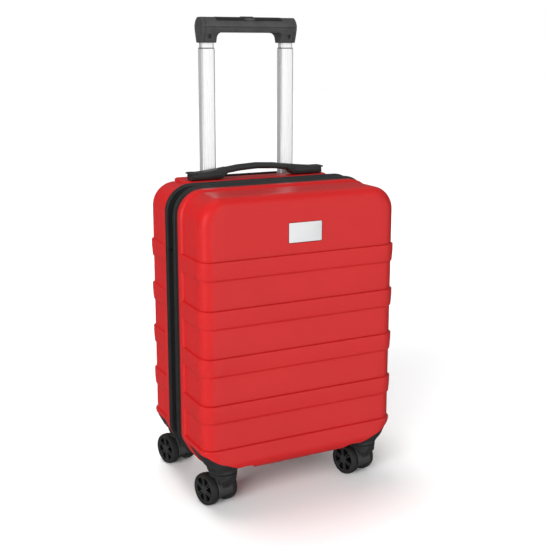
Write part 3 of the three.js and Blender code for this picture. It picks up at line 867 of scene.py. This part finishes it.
secs = []
for x in np.linspace(-74, 74, 61):
    ax = abs(x)
    zt = top_line(x) - 0.2 - 1.6 * sstep((ax - 55) / 19)
    th = 9.8 - 1.6 * sstep((ax - 40) / 34)
    w = 21.0 - 3.0 * math.exp(-(ax / 60) ** 2)
    secs.append(superell(w, th, 3.2, 28, HY, zt - th / 2, float(x)))
strap = loft(secs, "carry_handle_strap", HANDLE, "carry_handle", ("carry_handle",))
for tag, s in (("left", -1), ("right", 1)):
    secs = []
    for t in np.linspace(0, 1, 25):
        xb = 53.5 + (115.2 - 53.5) * t
        zt = top_line(xb)
        low = 482.7
        # the inner end is cut on a slant: the hood's top reaches further in than its foot
        if t < 0.16:
            low = 482.7 + (1 - t / 0.16) * 8.6
        w = 22.0
        e = 1.0
        if t > 0.93:
            k = (t - 0.93) / 0.07
            e = 1 - 0.16 * k * k
            zt -= 1.4 * k * k
        if t < 0.05:
            e = 0.93 + 0.07 * t / 0.05
        h = max(zt - low, 4.0)
        secs.append(superell(w * e, h, 7, 40, HY, low + h / 2, s * float(xb)))
    hood = loft(secs, "carry_handle_hood_" + tag, HANDLE, "carry_handle", (), 45)
    cut(hood, [temp(*prism(rrect(46, 15, 2, 4, s * 90, HY), "z", 470, 490.5))])
    shade(hood, 40)
    lv, lf = prism(rrect(14.0, 22.6, 2.4, 5, s * 110.9, HY), "z", 492.0, 494.7)
    lip = put("carry_handle_lip_" + tag, lv, lf, HANDLE, "carry_handle", ())
    bevel(lip, 0.0007, 3)
    # the inset side face of the hood, with a moulded step
    for side in (-1, 1):
        yy = HY + side * 10.9
        pts = [(s * x, z) for x, z in ((66, 485.2), (111, 485.2), (112.6, 487.5), (110.5, 490.4), (90, 491.6), (70, 493.0), (62.5, 491.6))]
        v, f = prism(pts, "y", min(yy, yy + side * 0.55), max(yy, yy + side * 0.55))
        b = put("hood_panel_%s_%s" % (tag, "front" if side < 0 else "rear"), v, f, HANDLE, "carry_handle", ())
        bevel(b, 0.0003, 2)
    node = "carry_handle_mount_" + tag
    mv, mf = prism(rrect(17.8, 12.8, 2, 4, s * 92, HY), "z", 482.1, 484.5)
    base = put("handle_mount_plate_" + tag, mv, mf, HANDLE, "root", (node,))
    bevel(base, 0.0005, 2)
    mv, mf = prism(rrect(9.8, 9.8, 1.2, 4, s * 92, HY), "z", 466.2, 487.8)
    post = put("handle_mount_post_" + tag, mv, mf, HANDLE, "root", ())
    bevel(post, 0.0004, 2)


# ------------------------------------------------------------------ trolley tubes, cup and foot
def tube(name, w, d, r, wall, s, z0, z1, body, node, holes=()):
    n = 8
    outer = rrect(w, d, r, n, s * TUBE_X, TUBE_Y)
    innr = rrect(w - 2 * wall, d - 2 * wall, r - wall * 0.8, n, s * TUBE_X, TUBE_Y)
    m = len(outer)
    lip = [(a[0] + (b[0] - a[0]) * 0.25, a[1] + (b[1] - a[1]) * 0.25) for a, b in zip(outer, innr)]
    rows = [(outer, z0), (outer, z1 - 0.35), (lip, z1), (innr, z1 - 0.1), (innr, z0)]
    v = []
    for pts, z in rows:
        v += [(x, y, z) for x, y in pts]
    o = put(name, v, ring_faces(len(rows), m, close_rows=True), ALU, body, (node,), 40)
    if holes:
        cs = []
        for z in holes:
            c = [(TUBE_Y + 2.0 * math.cos(a), z + 2.0 * math.sin(a)) for a in np.linspace(0, 2 * math.pi, 20, endpoint=False)]
            lo, hi = (TUBE_X - 14, TUBE_X - 8) if s > 0 else (-TUBE_X + 8, -TUBE_X + 14)
            cs.append(temp(*prism(c, "x", lo, hi)))
        cut(o, cs)
        shade(o, 40)
    return o


for tag, s in (("left", -1), ("right", 1)):
    tube("outer_tube_alu_" + tag, 27, 20.6, 5, 1.3, s, 74, 470.7, "root", "outer_tube_" + tag)
    tube("middle_tube_alu_" + tag, 23.4, 16.9, 3.6, 1.0, s, 290, 683.5, "middle_stage", "middle_tube_" + tag, (652, 503))
    tube("inner_tube_alu_" + tag, 20.8, 14.2, 3.0, 1.2, s, 330, 706, "inner_stage", "inner_tube_" + tag)
    # a dark guide bush on the middle tube's top, and also painted shade: its dark ring stands in for the shaded gap
    # between the middle and the inner tube
    ro, ri = rrect(23.0, 16.5, 3.4, 8, s * TUBE_X, TUBE_Y), rrect(21.1, 14.5, 3.1, 8, s * TUBE_X, TUBE_Y)
    v = [(a, b, z) for pts, z in ((ro, 683.6), (ro, 684.7), (ri, 684.9), (ri, 683.6)) for a, b in pts]
    put("tube_guide_ring_and_gap_shade_" + tag, v, ring_faces(4, len(ro), close_rows=True), HANDLE, "middle_stage", (), 40)

for n_, m_ in (("trolley_cup", BLACK), ("trolley_foot", BLACK)):
    NODES[n_].data.materials.clear()
    NODES[n_].data.materials.append(m_)

# ------------------------------------------------------------------ trolley grip
GZ0, GZ1 = 692.5, 732.0


def grip_profile(side):
    """Half of the end view, front (side -1) or rear (+1), from the seam round to the seam."""
    half = [(0.0, GZ0), (10.6, GZ0), (11.2, GZ0 + 0.8)]
    for z in np.linspace(696, 713, 8):
        half.append((float(np.interp(z, [692.5, 707, 717], [11, 16, 18.6])), float(z)))
    half += [(18.3, 715.3), (17.4, 715.8), (17.3, 716.6), (18.5, 717.2), (18.35, 718.6)]
    for z, y in ((720.5, 17.6), (723, 16.6), (725.5, 15.2), (728, 13.0), (729.6, 11.2), (730.8, 9.4), (731.6, 7.8), (732.0, 6.4)):
        half.append((y, z))
    half.append((0.0, GZ1))
    return [(TUBE_Y + side * y, z) for y, z in half]


def grip_gap():
    pts = [(-57, 680), (57, 680), (57, 700.5)]
    for i in range(1, 9):
        a = math.pi / 2 * i / 8
        pts.append((49 + 8 * math.cos(a), 700.5 + 8 * math.sin(a)))
    for i in range(0, 9):
        a = math.pi / 2 + math.pi / 2 * i / 8
        pts.append((-49 + 8 * math.cos(a), 700.5 + 8 * math.sin(a)))
    return temp(*prism(pts, "y", 40, 130))


for tag, side in (("front", -1), ("rear", 1)):
    prof = grip_profile(side)
    cuts_x = []
    for x, q in ((82, 0.045), (81.6, 0.018), (80.8, 0.0), (77.5, 0.0), (77.3, 0.045), (76.6, 0.045), (76.4, 0.0), (60, 0.0), (30, 0.0), (0, 0.0)):
        cuts_x.append((x, q))
    stations = [(-x, q) for x, q in cuts_x] + [(x, q) for x, q in cuts_x[::-1][1:]]
    v, f = [], []
    for x, q in stations:
        v += [(x, TUBE_Y + (a - TUBE_Y) * (1 - q), 712 + (b - 712) * (1 - q)) for a, b in prof]
    m0 = len(prof)
    f = ring_faces(len(stations), m0) + [tuple(range(m0))[::-1], tuple(range((len(stations) - 1) * m0, len(stations) * m0))]
    g = put("trolley_grip_%s_half" % tag, v, f, GRIP, "inner_stage", ("trolley_grip_" + tag,), smooth=False)
    cs = [grip_gap()]
    for s in (-1, 1):
        cs.append(temp(*prism(rrect(21.2, 14.6, 3.2, 6, s * TUBE_X, TUBE_Y), "z", 680, 706.3)))
        if side < 0:
            c = [(s * TUBE_X + 3.3 * math.cos(a), 702 + 3.3 * math.sin(a)) for a in np.linspace(0, 2 * math.pi, 24, endpoint=False)]
            cs.append(temp(*prism(c, "y", 60, TUBE_Y - 7.3)))
    cs.append(temp(*prism(rrect(114.6, 10.6, 2.0, 5, 0, TUBE_Y), "z", 729.7, 740)))
    cs.append(temp(*prism(rrect(21.4, 9.0, 1.6, 5, 0, TUBE_Y), "z", 720, 740)))
    if side < 0:
        # the step in the front upper edge where the insert's apron lies
        ap = [(TUBE_Y - a, b) for a, b in ((4.8, 735), (4.8, 731.2), (8.2, 730.9), (11.0, 728.9), (13.9, 726.1), (16.5, 728.5), (12, 735))]
        cs.append(temp(*prism(ap, "x", -57.3, 57.3)))
    cut(g, cs)
    bevel(g, 0.0007, 3, 34, 34)

v, f = prism(rrect(114, 10, 1.8, 5, 0, TUBE_Y), "z", 730, 732.4)
ins = put("trolley_grip_insert_strip", v, f, INSERT, "inner_stage", ("trolley_grip_insert",))
cut(ins, [temp(*prism(rrect(21.2, 8.8, 1.5, 5, 0, TUBE_Y), "z", 700, 760))])
bevel(ins, 0.0004, 2)
ap = [(TUBE_Y - a, b) for a, b in ((5.1, 732.2), (5.1, 731.3), (8.3, 731.0), (11.1, 729.0), (13.5, 726.8), (14.0, 727.2), (11.6, 729.9), (9.0, 731.6), (7.6, 732.1))]
v, f = prism(ap, "x", -56.7, 56.7)
apron = put("trolley_grip_insert_apron", v, f, INSERT, "inner_stage", ())
bevel(apron, 0.0003, 2)
lens = [(9.5 * math.cos(t), 728.6 + 2.3 * math.sin(t)) for t in np.linspace(0, 2 * math.pi, 36, endpoint=False)]
v, f = prism(lens, "y", TUBE_Y - 14.6, TUBE_Y - 10.0)
lobe_o = put("trolley_grip_thumb_rest", v, f, GRIP, "inner_stage", ())
bevel(lobe_o, 0.0005, 2)
v, f = prism(rrect(20.6, 8.2, 1.4, 5, 0, TUBE_Y), "z", 724.5, 733.4)
btn = put("trolley_push_button", v, f, GRIP, "trolley_button", ("trolley_button",))
cut(btn, [temp(*prism(rrect(0.7, 6.2, 0.3, 3, k * 2.4, TUBE_Y), "z", 733.0, 740)) for k in range(-3, 4)])
bevel(btn, 0.0003, 2)

for tag, s in (("left", -1), ("right", 1)):
    prof = [(0.01, -4.1), (2.85, -4.1), (2.85, 0.0), (2.4, 0.35), (0.01, 0.42)]
    o = lathe(prof, 28, (s * TUBE_X, TUBE_Y - 11.8, 702), (0, -1, 0), "grip_screw_head_" + tag, DARK_STEEL, "inner_stage",
              ("grip_screw_" + tag,), closed=False)
    cs = []
    for a in (0, math.pi / 2):
        ca, sa = math.cos(a + 0.4), math.sin(a + 0.4)
        q = [(s * TUBE_X + ca * u - sa * w, 702 + sa * u + ca * w) for u, w in ((-1.7, -0.4), (1.7, -0.4), (1.7, 0.4), (-1.7, 0.4))]
        cs.append(temp(*prism(q, "y", TUBE_Y - 20, TUBE_Y - 10.9)))
    cut(o, cs)
    shade(o, 35)

# ------------------------------------------------------------------ casters
CA = [("front_left", -1, -1), ("front_right", 1, -1), ("rear_left", -1, 1), ("rear_right", 1, 1)]
YAW, TRAIL, WR, WW, WG = math.radians(12.6), 18.5, 25.0, 18.0, 7.0


def soft_copy(node, name, mat, voxel, smooth, slot):
    """A moulded version of a CAD solid: remeshed fine, with its edges eased."""
    src = NODES[node]
    o = bpy.data.objects.new(name, src.data.copy())
    scene.collection.objects.link(o)
    o.matrix_world = src.matrix_world
    r = o.modifiers.new("r", "REMESH")
    r.mode, r.voxel_size, r.adaptivity = "VOXEL", voxel, 0.0
    s = o.modifiers.new("s", "SMOOTH")
    s.factor, s.iterations = 0.5, smooth
    apply_mods(o)
    o.data.materials.clear()
    o.data.materials.append(mat)
    for p in o.data.polygons:
        p.use_smooth = True
        p.material_index = 0
    return o


def make_hub():
    """The hub's outer disc: six double spokes, each with a slot, and six three-cornered openings. Axis +Z, metres."""
    k = 0.001
    prof = [(0.01, 7.15), (3.2, 7.1), (6.0, 6.8), (12, 6.35), (18.6, 6.2), (19.2, 6.6), (20.05, 6.6), (20.35, 6.0), (20.35, 4.5), (0.01, 4.5)]
    n = 72
    V, F = [], []
    for r, h in prof:
        for i in range(n):
            a = 2 * math.pi * i / n
            V.append((r * k * math.cos(a), r * k * math.sin(a), h * k))
    F = ring_faces(len(prof), n) + [tuple(range(n))[::-1], tuple(range((len(prof) - 1) * n, len(prof) * n))]
    o = temp(V, F, mm=False)
    cs = []
    for q in range(6):
        a0 = math.radians(60 * q + 12)
        ca, sa = math.cos(a0), math.sin(a0)
        slot = [(7.4, -0.8), (17.9, -1.2), (18.5, -0.7), (18.5, 0.7), (17.9, 1.2), (7.4, 0.8), (6.9, 0)]
        cs.append(temp(*prism([((x * ca - y * sa) * k, (x * sa + y * ca) * k) for x, y in slot], "z", 3 * k, 9 * k), mm=False))
        b0 = a0 + math.radians(30)
        cb, sb = math.cos(b0), math.sin(b0)
        tri = [(5.6, 0.0), (6.3, -0.9), (16.4, -6.3), (17.4, -6.2), (18.8, -3.0), (19.1, 0), (18.8, 3.0), (17.4, 6.2), (16.4, 6.3), (6.3, 0.9)]
        cs.append(temp(*prism([((x * cb - y * sb) * k, (x * sb + y * cb) * k) for x, y in tri], "z", 3 * k, 9 * k), mm=False))
    cut(o, cs)
    b = o.modifiers.new("v", "BEVEL")
    b.width, b.segments, b.limit_method, b.angle_limit = 0.0004, 2, "ANGLE", math.radians(40)
    apply_mods(o)
    shade(o, 36)
    return o


HUB_SRC = make_hub()
HUB_MESH = HUB_SRC.data
HUB_MESH.materials.clear()
HUB_MESH.materials.append(HUB)
bpy.data.objects.remove(HUB_SRC, do_unlink=True)


def wheel(tag, sx, sy, side):
    """One wheel: a tyre with rounded shoulders, a dark well and the spoked disc in it."""
    body = "wheel_%s_%s" % (tag, side)
    s = -1 if side == "left" else 1
    u = Vector((math.cos(YAW), math.sin(YAW), 0))
    w = Vector((-math.sin(YAW), math.cos(YAW), 0))
    c = Vector((sx * 123, sy * 83.5, WR)) + w * TRAIL + u * (s * (WG + WW / 2))
    out = u * s
    tyre = [(20.35, 5.6), (20.5, 7.2), (21.0, 8.1), (21.8, 8.4), (22.8, 8.1), (23.7, 7.2), (24.4, 5.6), (24.85, 3.6), (25.0, 1.2),
            (25.0, -1.2), (24.85, -3.4), (24.4, -5.2), (23.5, -6.9), (22.2, -8.2), (20.4, -8.9), (18.0, -8.7), (17.6, -7.4), (17.6, 0.0), (20.2, 0.4)]
    lathe(tyre, 72, c, out, body + "_tyre", RUBBER, body, (body,), sharp=50)
    lathe([(2.9, -7.6), (17.5, -7.6), (17.5, 0.7), (20.1, 0.7), (20.1, 4.4), (19.2, 4.4), (19.2, 1.6), (16.5, 1.6), (16.5, -6.2), (4.2, -6.2), (4.2, 4.4), (2.9, 4.4)], 48, c, out, body + "_well", PIT, body, (), sharp=30)
    e1 = Vector((0, 0, 1))
    e2 = out.cross(e1)
    m = Matrix((e1, e2, out)).transposed().to_4x4()
    m.translation = Vector(W(c))
    o = bpy.data.objects.new(body + "_spokes", HUB_MESH.copy())
    scene.collection.objects.link(o)
    o.data.transform(m)
    claim(o, body, ())


for tag, sx, sy in CA:
    for side in ("left", "right"):
        wheel(tag, sx, sy, side)
    fork = soft_copy("caster_fork_" + tag, "caster_fork_moulded_" + tag, CASTER, 0.0007, 3, "caster")
    shade(fork, 50)
    fork.data.materials.append(GUARD_PAINTED_LIGHT)
    u_, w_ = Vector((math.cos(YAW), math.sin(YAW), 0)), Vector((-math.sin(YAW), math.cos(YAW), 0))
    base = Vector(W((sx * 123, sy * 83.5, 0)))
    beak = []
    for z_, hw, yf in ((56.4, 21.2, -21.7), (53.5, 20.9, -21.9), (50.5, 19.0, -20.9), (46, 15.2, -18.3), (41.5, 11.2, -15.9), (37.5, 6.8, -14.2), (35, 3.6, -13.4), (33.8, 1.2, -13.1)):
        arc = [(hw * q, yf + 23 - math.sqrt(23 * 23 - (hw * q) ** 2)) for q in np.linspace(-1, 1, 17)]
        ring = arc + [(a, b + 2.2) for a, b in arc[::-1]]
        beak.append([(sx * 123 + u_.x * a + w_.x * b, sy * 83.5 + u_.y * a + w_.y * b, z_) for a, b in ring])
    loft(beak, "caster_beak_" + tag, CASTER, "swivel_" + tag, (), 45)
    # faces on the mudguard take the lighter copy: painted light on the guard, which faces up and forward
    for poly in fork.data.polygons:
        q = (fork.matrix_world @ poly.center - base) * 1000
        ww, zz = q.dot(w_), q.z
        if math.hypot(ww - TRAIL, zz - WR) < 28.5 and ww < 16 and zz > 19.5 and abs(q.dot(u_)) < 13.6:
            poly.material_index = 1
    claim(fork, "swivel_" + tag, ("caster_fork_" + tag,))
    house = soft_copy("wheel_housing_" + tag, "wheel_housing_moulded_" + tag, CASTER, 0.0011, 12, "caster")
    cone = [(0.01, 50), (21.6, 50), (21.7, 57.4), (23.6, 62), (27.5, 68), (34, 76), (80, 100), (80, 140), (0.01, 140)]
    cv, m_ = [], 48
    for r_, z_ in cone:
        cv += [(sx * 123 + r_ * math.cos(2 * math.pi * i / m_), sy * 83.5 + r_ * math.sin(2 * math.pi * i / m_), z_) for i in range(m_)]
    cf = ring_faces(len(cone), m_) + [tuple(range(m_))[::-1], tuple(range((len(cone) - 1) * m_, len(cone) * m_))]
    cut(house, [temp(cv, cf)], "INTERSECT", "MANIFOLD")
    shade(house, 50)
    claim(house, "lid" if sy < 0 else "root", ("wheel_housing_" + tag,))
    u = Vector((math.cos(YAW), math.sin(YAW), 0))
    w = Vector((-math.sin(YAW), math.cos(YAW), 0))
    c = Vector((sx * 123, sy * 83.5, WR)) + w * TRAIL
    ax = [(0.01, -16.8), (1.8, -16.8), (2.5, -16.1), (2.5, 16.1), (1.8, 16.8), (0.01, 16.8)]
    lathe(ax, 24, c, u, "wheel_axle_pin_" + tag, AXLE, "swivel_" + tag, ("wheel_axle_" + tag,), closed=False)

# ------------------------------------------------------------------ zip sliders and their pullers
for tag, z in (("upper", 292.0), ("lower", 244.0)):
    x = HALF_W - 1 + 0.3
    pts = [(1.4, z - 6.5), (10.6, z - 6.5), (11.4, z + 2), (9, z + 6.5), (3, z + 6.5), (0.6, z + 2)]
    v, f = prism(pts, "x", x, x + 2.6)
    o = put("zip_slider_body_" + tag, v, f, NICKEL, "zip_slider_" + tag, ("zip_slider_" + tag,))
    bevel(o, 0.0007, 3)
    arch = []
    for i in range(15):
        a = math.pi * i / 14
        arch.append((x + 2.2 + 3.5 * math.sin(a) ** 0.6, z - 5 * math.cos(a)))
    secs = []
    for px, pz in arch:
        secs.append([(px + 0.5 * math.cos(t) * (1 if px > x + 3 else 0.6), Y_ZIP + 1.1 * math.cos(t + 1.57), pz + 0.5 * math.sin(t)) for t in np.linspace(0, 2 * math.pi, 10, endpoint=False)])
    loft(secs, "zip_slider_bridge_" + tag, NICKEL, "zip_slider_" + tag, (), 60)
    v, f = prism(rrect(9.2, 21.6, 2.2, 5, Y_ZIP, z - 11.2), "x", x + 3.2, x + 4.6)
    p = put("zip_puller_plate_" + tag, v, f, NICKEL, "zip_puller_" + tag, ("zip_puller_" + tag,))
    cut(p, [temp(*prism(rrect(4.8, 7.2, 1.2, 4, Y_ZIP, z - 5.4), "x", x, x + 9)),
            temp(*prism(rrect(5.4, 8.4, 1.4, 4, Y_ZIP, z - 15.8), "x", x + 4.3, x + 9))])
    bevel(p, 0.00035, 2)
    pin = [(0.01, -3.2), (0.6, -3.2), (0.6, 3.2), (0.01, 3.2)]
    lathe(pin, 16, (x + 3.9, Y_ZIP, z - 1.2), (0, 1, 0), "zip_puller_pin_" + tag, NICKEL, "zip_puller_" + tag, (), closed=False)

# ------------------------------------------------------------------ combination lock
LZ = 268.0
x0, x1, y0, y1 = HALF_W - 3.6, HALF_W + 4.6, 17.8, 42.0
yc = (y0 + y1) / 2
v, f = prism(rrect(y1 - y0, 66, 4, 6, yc, LZ), "x", x0, x1)
lock = put("lock_housing", v, f, HANDLE, "root", ("lock_body",))
cs = [temp(*prism(rrect(10.8, 6.4, 0.6, 3, yc, LZ + d), "x", x1 - 6.6, x1 + 5)) for d in (-17, -8, 1)]
cs.append(temp(*prism(rrect(8, 16, 0.8, 3, yc, LZ + 17), "x", x1 - 2.6, x1 + 5)))
cs += [temp(*prism(rrect(5.6, 1.6, 0.5, 3, y0 + 4.2, LZ + d), "x", x1 - 2.5, x1 + 5)) for d in (-27, 28)]
cut(lock, cs)
bevel(lock, 0.0006, 3)
for i, d in enumerate((-17, -8, 1)):
    zc, xc = LZ + d, x1 - 3.3 + 1.9
    body = "dial_%d" % (i + 1)
    V, rows = [], [(-2.8, 0.35), (-2.45, 0), (2.45, 0), (2.8, 0.35)]
    n = 80
    for h, e in rows:
        for k in range(n):
            a = 2 * math.pi * k / n
            r = 4.9 - e - (0.28 if (k % 8) in (0, 7) else 0)
            V.append((xc + r * math.cos(a), yc + r * math.sin(a), zc + h))
    F = ring_faces(4, n) + [tuple(range(n))[::-1], tuple(range(3 * n, 4 * n))]
    put("lock_dial_wheel_%d" % (i + 1), V, F, DIAL, body, ("lock_dial_%d" % (i + 1),), 25)
    # ten engraved digits round the rim
    for k in range(10):
        cu = bpy.data.curves.new("digit", "FONT")
        cu.body, cu.size, cu.align_x, cu.align_y, cu.extrude = str(k), 0.0030, "CENTER", "CENTER", 0.00006
        o = bpy.data.objects.new("dial_%d_digit_%d" % (i + 1, k), cu)
        scene.collection.objects.link(o)
        a = 2 * math.pi * k / 10 + 0.02
        out = Vector((math.cos(a), math.sin(a), 0))
        up = Vector((0, 0, 1))
        right = up.cross(out)
        m = Matrix((right, up, out)).transposed().to_4x4()
        m.translation = Vector(W((xc, yc, zc))) + out * 0.00486
        o.matrix_world = m
        dg = bpy.context.evaluated_depsgraph_get()
        me = bpy.data.meshes.new_from_object(o.evaluated_get(dg))
        bpy.data.objects.remove(o, do_unlink=True)
        me.transform(m)
        d_o = bpy.data.objects.new("dial_%d_digit_%d" % (i + 1, k), me)
        scene.collection.objects.link(d_o)
        me.materials.clear()
        me.materials.append(INK)
        claim(d_o, body, ())
v, f = prism(rrect(7.4, 8.4, 0.8, 3, yc, LZ + 13.5), "x", x1 - 2.3, x1 + 1.4)
rel = put("lock_release_tab", v, f, GRIP, "lock_release", ("lock_release",))
cut(rel, [temp(*prism(rrect(5.6, 0.7, 0.3, 2, yc, LZ + 13.5 + q), "x", x1 + 1.0, x1 + 5)) for q in (-2, 0, 2)])
bevel(rel, 0.0003, 2)


# ------------------------------------------------------------------ soft interior
def lining(name, face, body, node):
    rng = np.random.RandomState(7 + face)
    ph = rng.rand(8) * 6.28

    def wob(v):
        v = v.copy()
        x, y, z = v[:, 0], v[:, 1], v[:, 2]
        w = (0.5 * np.sin(x * 0.055 + ph[0] + 0.6 * np.sin(z * 0.02)) + 0.4 * np.sin(z * 0.071 + ph[1] + 0.8 * np.sin(x * 0.03))
             + 0.25 * np.sin((x + z) * 0.13 + ph[2]) + 0.2 * np.sin((x - z) * 0.17 + ph[3]))
        inw = (w + 1.4) * 0.9
        # pull in from the walls
        d = np.clip((np.abs(y) - 32 if face > 0 else np.abs(y) - 20) / 12, 0, 1)
        inw = inw * d
        cx, cz = -np.sign(x) * np.clip((np.abs(x) - 120) / 30, 0, 1), -np.sign(z - 270) * np.clip((np.abs(z - 270) - 170) / 30, 0, 1)
        v[:, 0] += cx * inw
        v[:, 2] += cz * inw
        v[:, 1] -= face * inw * np.clip((np.abs(y) - 55) / 14, 0, 1)
        # over the wheel housings the cloth is pushed out of the corner
        hx, hy, hz = np.abs(v[:, 0]) - 73.0, np.abs(v[:, 1]) - 49.5, 101.5 - v[:, 2]
        inside = (hx > 0) & (hy > 0) & (hz > 0)
        pick = np.argmin(np.c_[hx, hy, hz], axis=1)
        for i in np.nonzero(inside)[0]:
            if pick[i] == 0:
                v[i, 0] -= np.sign(v[i, 0]) * hx[i]
            elif pick[i] == 1:
                v[i, 1] -= face * hy[i]
            else:
                v[i, 2] += hz[i]
        return v

    if face < 0:
        v, f = shell_surface(-1, inset=4.9, bands=False, wobble=wob, y_rim=-20.2)
    else:
        v, f = shell_surface(1, inset=4.9, bands=False, wobble=None, y_rim=32.2)
        # the back wall of the lining lies in front of the trolley tubes
        v = v.copy()
        v[:, 1] = np.where(v[:, 1] > 70.5, 70.5 + (v[:, 1] - 70.5) * 0.004, v[:, 1])
        v = wob(v)
    o = put(name, v, f, CLOTH, body, (node,), 60)
    s = o.modifiers.new("t", "SOLIDIFY")
    s.thickness, s.offset = 0.0009, -1.0
    apply_mods(o)
    shade(o, 60)
    return o


lining("lid_lining_cloth", -1, "lid", "lid_lining")
lining("base_lining_cloth", 1, "root", "base_lining")


# cross straps: webbing arms from the buckle to the corners of the back half
def webbing(name, pts, width, th, body, node=None):
    """A flat strap along pts (x, y, z), lying in the plane across Y, with capped ends."""
    V, F = [], []
    p = [Vector(q) for q in pts]
    rows = []
    L = 0
    for i in range(len(p)):
        d = (p[min(i + 1, len(p) - 1)] - p[max(i - 1, 0)]).normalized()
        side = Vector((0, 1, 0)).cross(d).normalized()
        nrm = side.cross(d).normalized()
        row = []
        for t, h in ((-1, 0), (-0.985, 0.5), (-0.93, 0.62), (0, 0.5), (0.93, 0.62), (0.985, 0.5), (1, 0), (0.985, -0.5), (0.93, -0.62), (0, -0.5), (-0.93, -0.62), (-0.985, -0.5)):
            row.append(tuple(p[i] + side * (t * width / 2) + nrm * (h * th)))
        rows.append(row)
    n = len(rows[0])
    V = [q for r in rows for q in r]
    F = ring_faces(len(rows), n) + [tuple(range(n))[::-1], tuple(range((len(rows) - 1) * n, len(rows) * n))]
    return put(name, V, F, WEB, body, (node,) if node else (), 50)


for tag, s in (("left", -1), ("right", 1)):
    for k, (ztop, nm) in enumerate(((374, "upper"), (152, "lower"))):
        pts = []
        for t in np.linspace(0, 1, 24):
            x = 24 + (150.5 - 24) * t
            z = 262 + (ztop - 262) * sstep(np.array(t * 1.05 - 0.03)) * 0.6 + (ztop - 262) * t * 0.4
            y = 34.3 + 2.2 * math.sin(math.pi * t) + 0.25 * math.sin(9 * t + k)
            pts.append((s * x, y, float(z)))
        webbing("cross_strap_%s_%s" % (tag, nm), pts, 24, 1.2, "root", "cross_strap_" + tag if k == 0 else None)
v, f = prism(rrect(49, 28, 5, 6, 0, 262), "y", 32.0, 37.6)
bk = put("strap_buckle_moulded", v, f, HANDLE, "root", ("strap_buckle",))
cut(bk, [temp(*prism(rrect(3.0, 22, 1.2, 4, sx * 17.5, 262), "y", 30, 33.0)) for sx in (-1, 1)]
    + [temp(*prism(rrect(26, 14, 3, 5, 0, 262), "y", 30, 32.6))])
bevel(bk, 0.0008, 3)

# ------------------------------------------------------------------ floor
me = bpy.data.meshes.new("floor")
me.from_pydata([(-12, -12, 0), (12, -12, 0), (12, 12, 0), (-12, 12, 0)], [], [(0, 1, 2, 3)])
floor = bpy.data.objects.new("floor", me)
scene.collection.objects.link(floor)
floor.visible_glossy = False
fm = Mat("floor_paper", roughness=0.9)
fm.color(fm.ramp(fm.noise(fm.coords(), 3, 3, 0.5), [(0.2, (0.962, 0.962, 0.962)), (0.8, (0.975, 0.975, 0.975))]))
me.materials.append(fm.m)
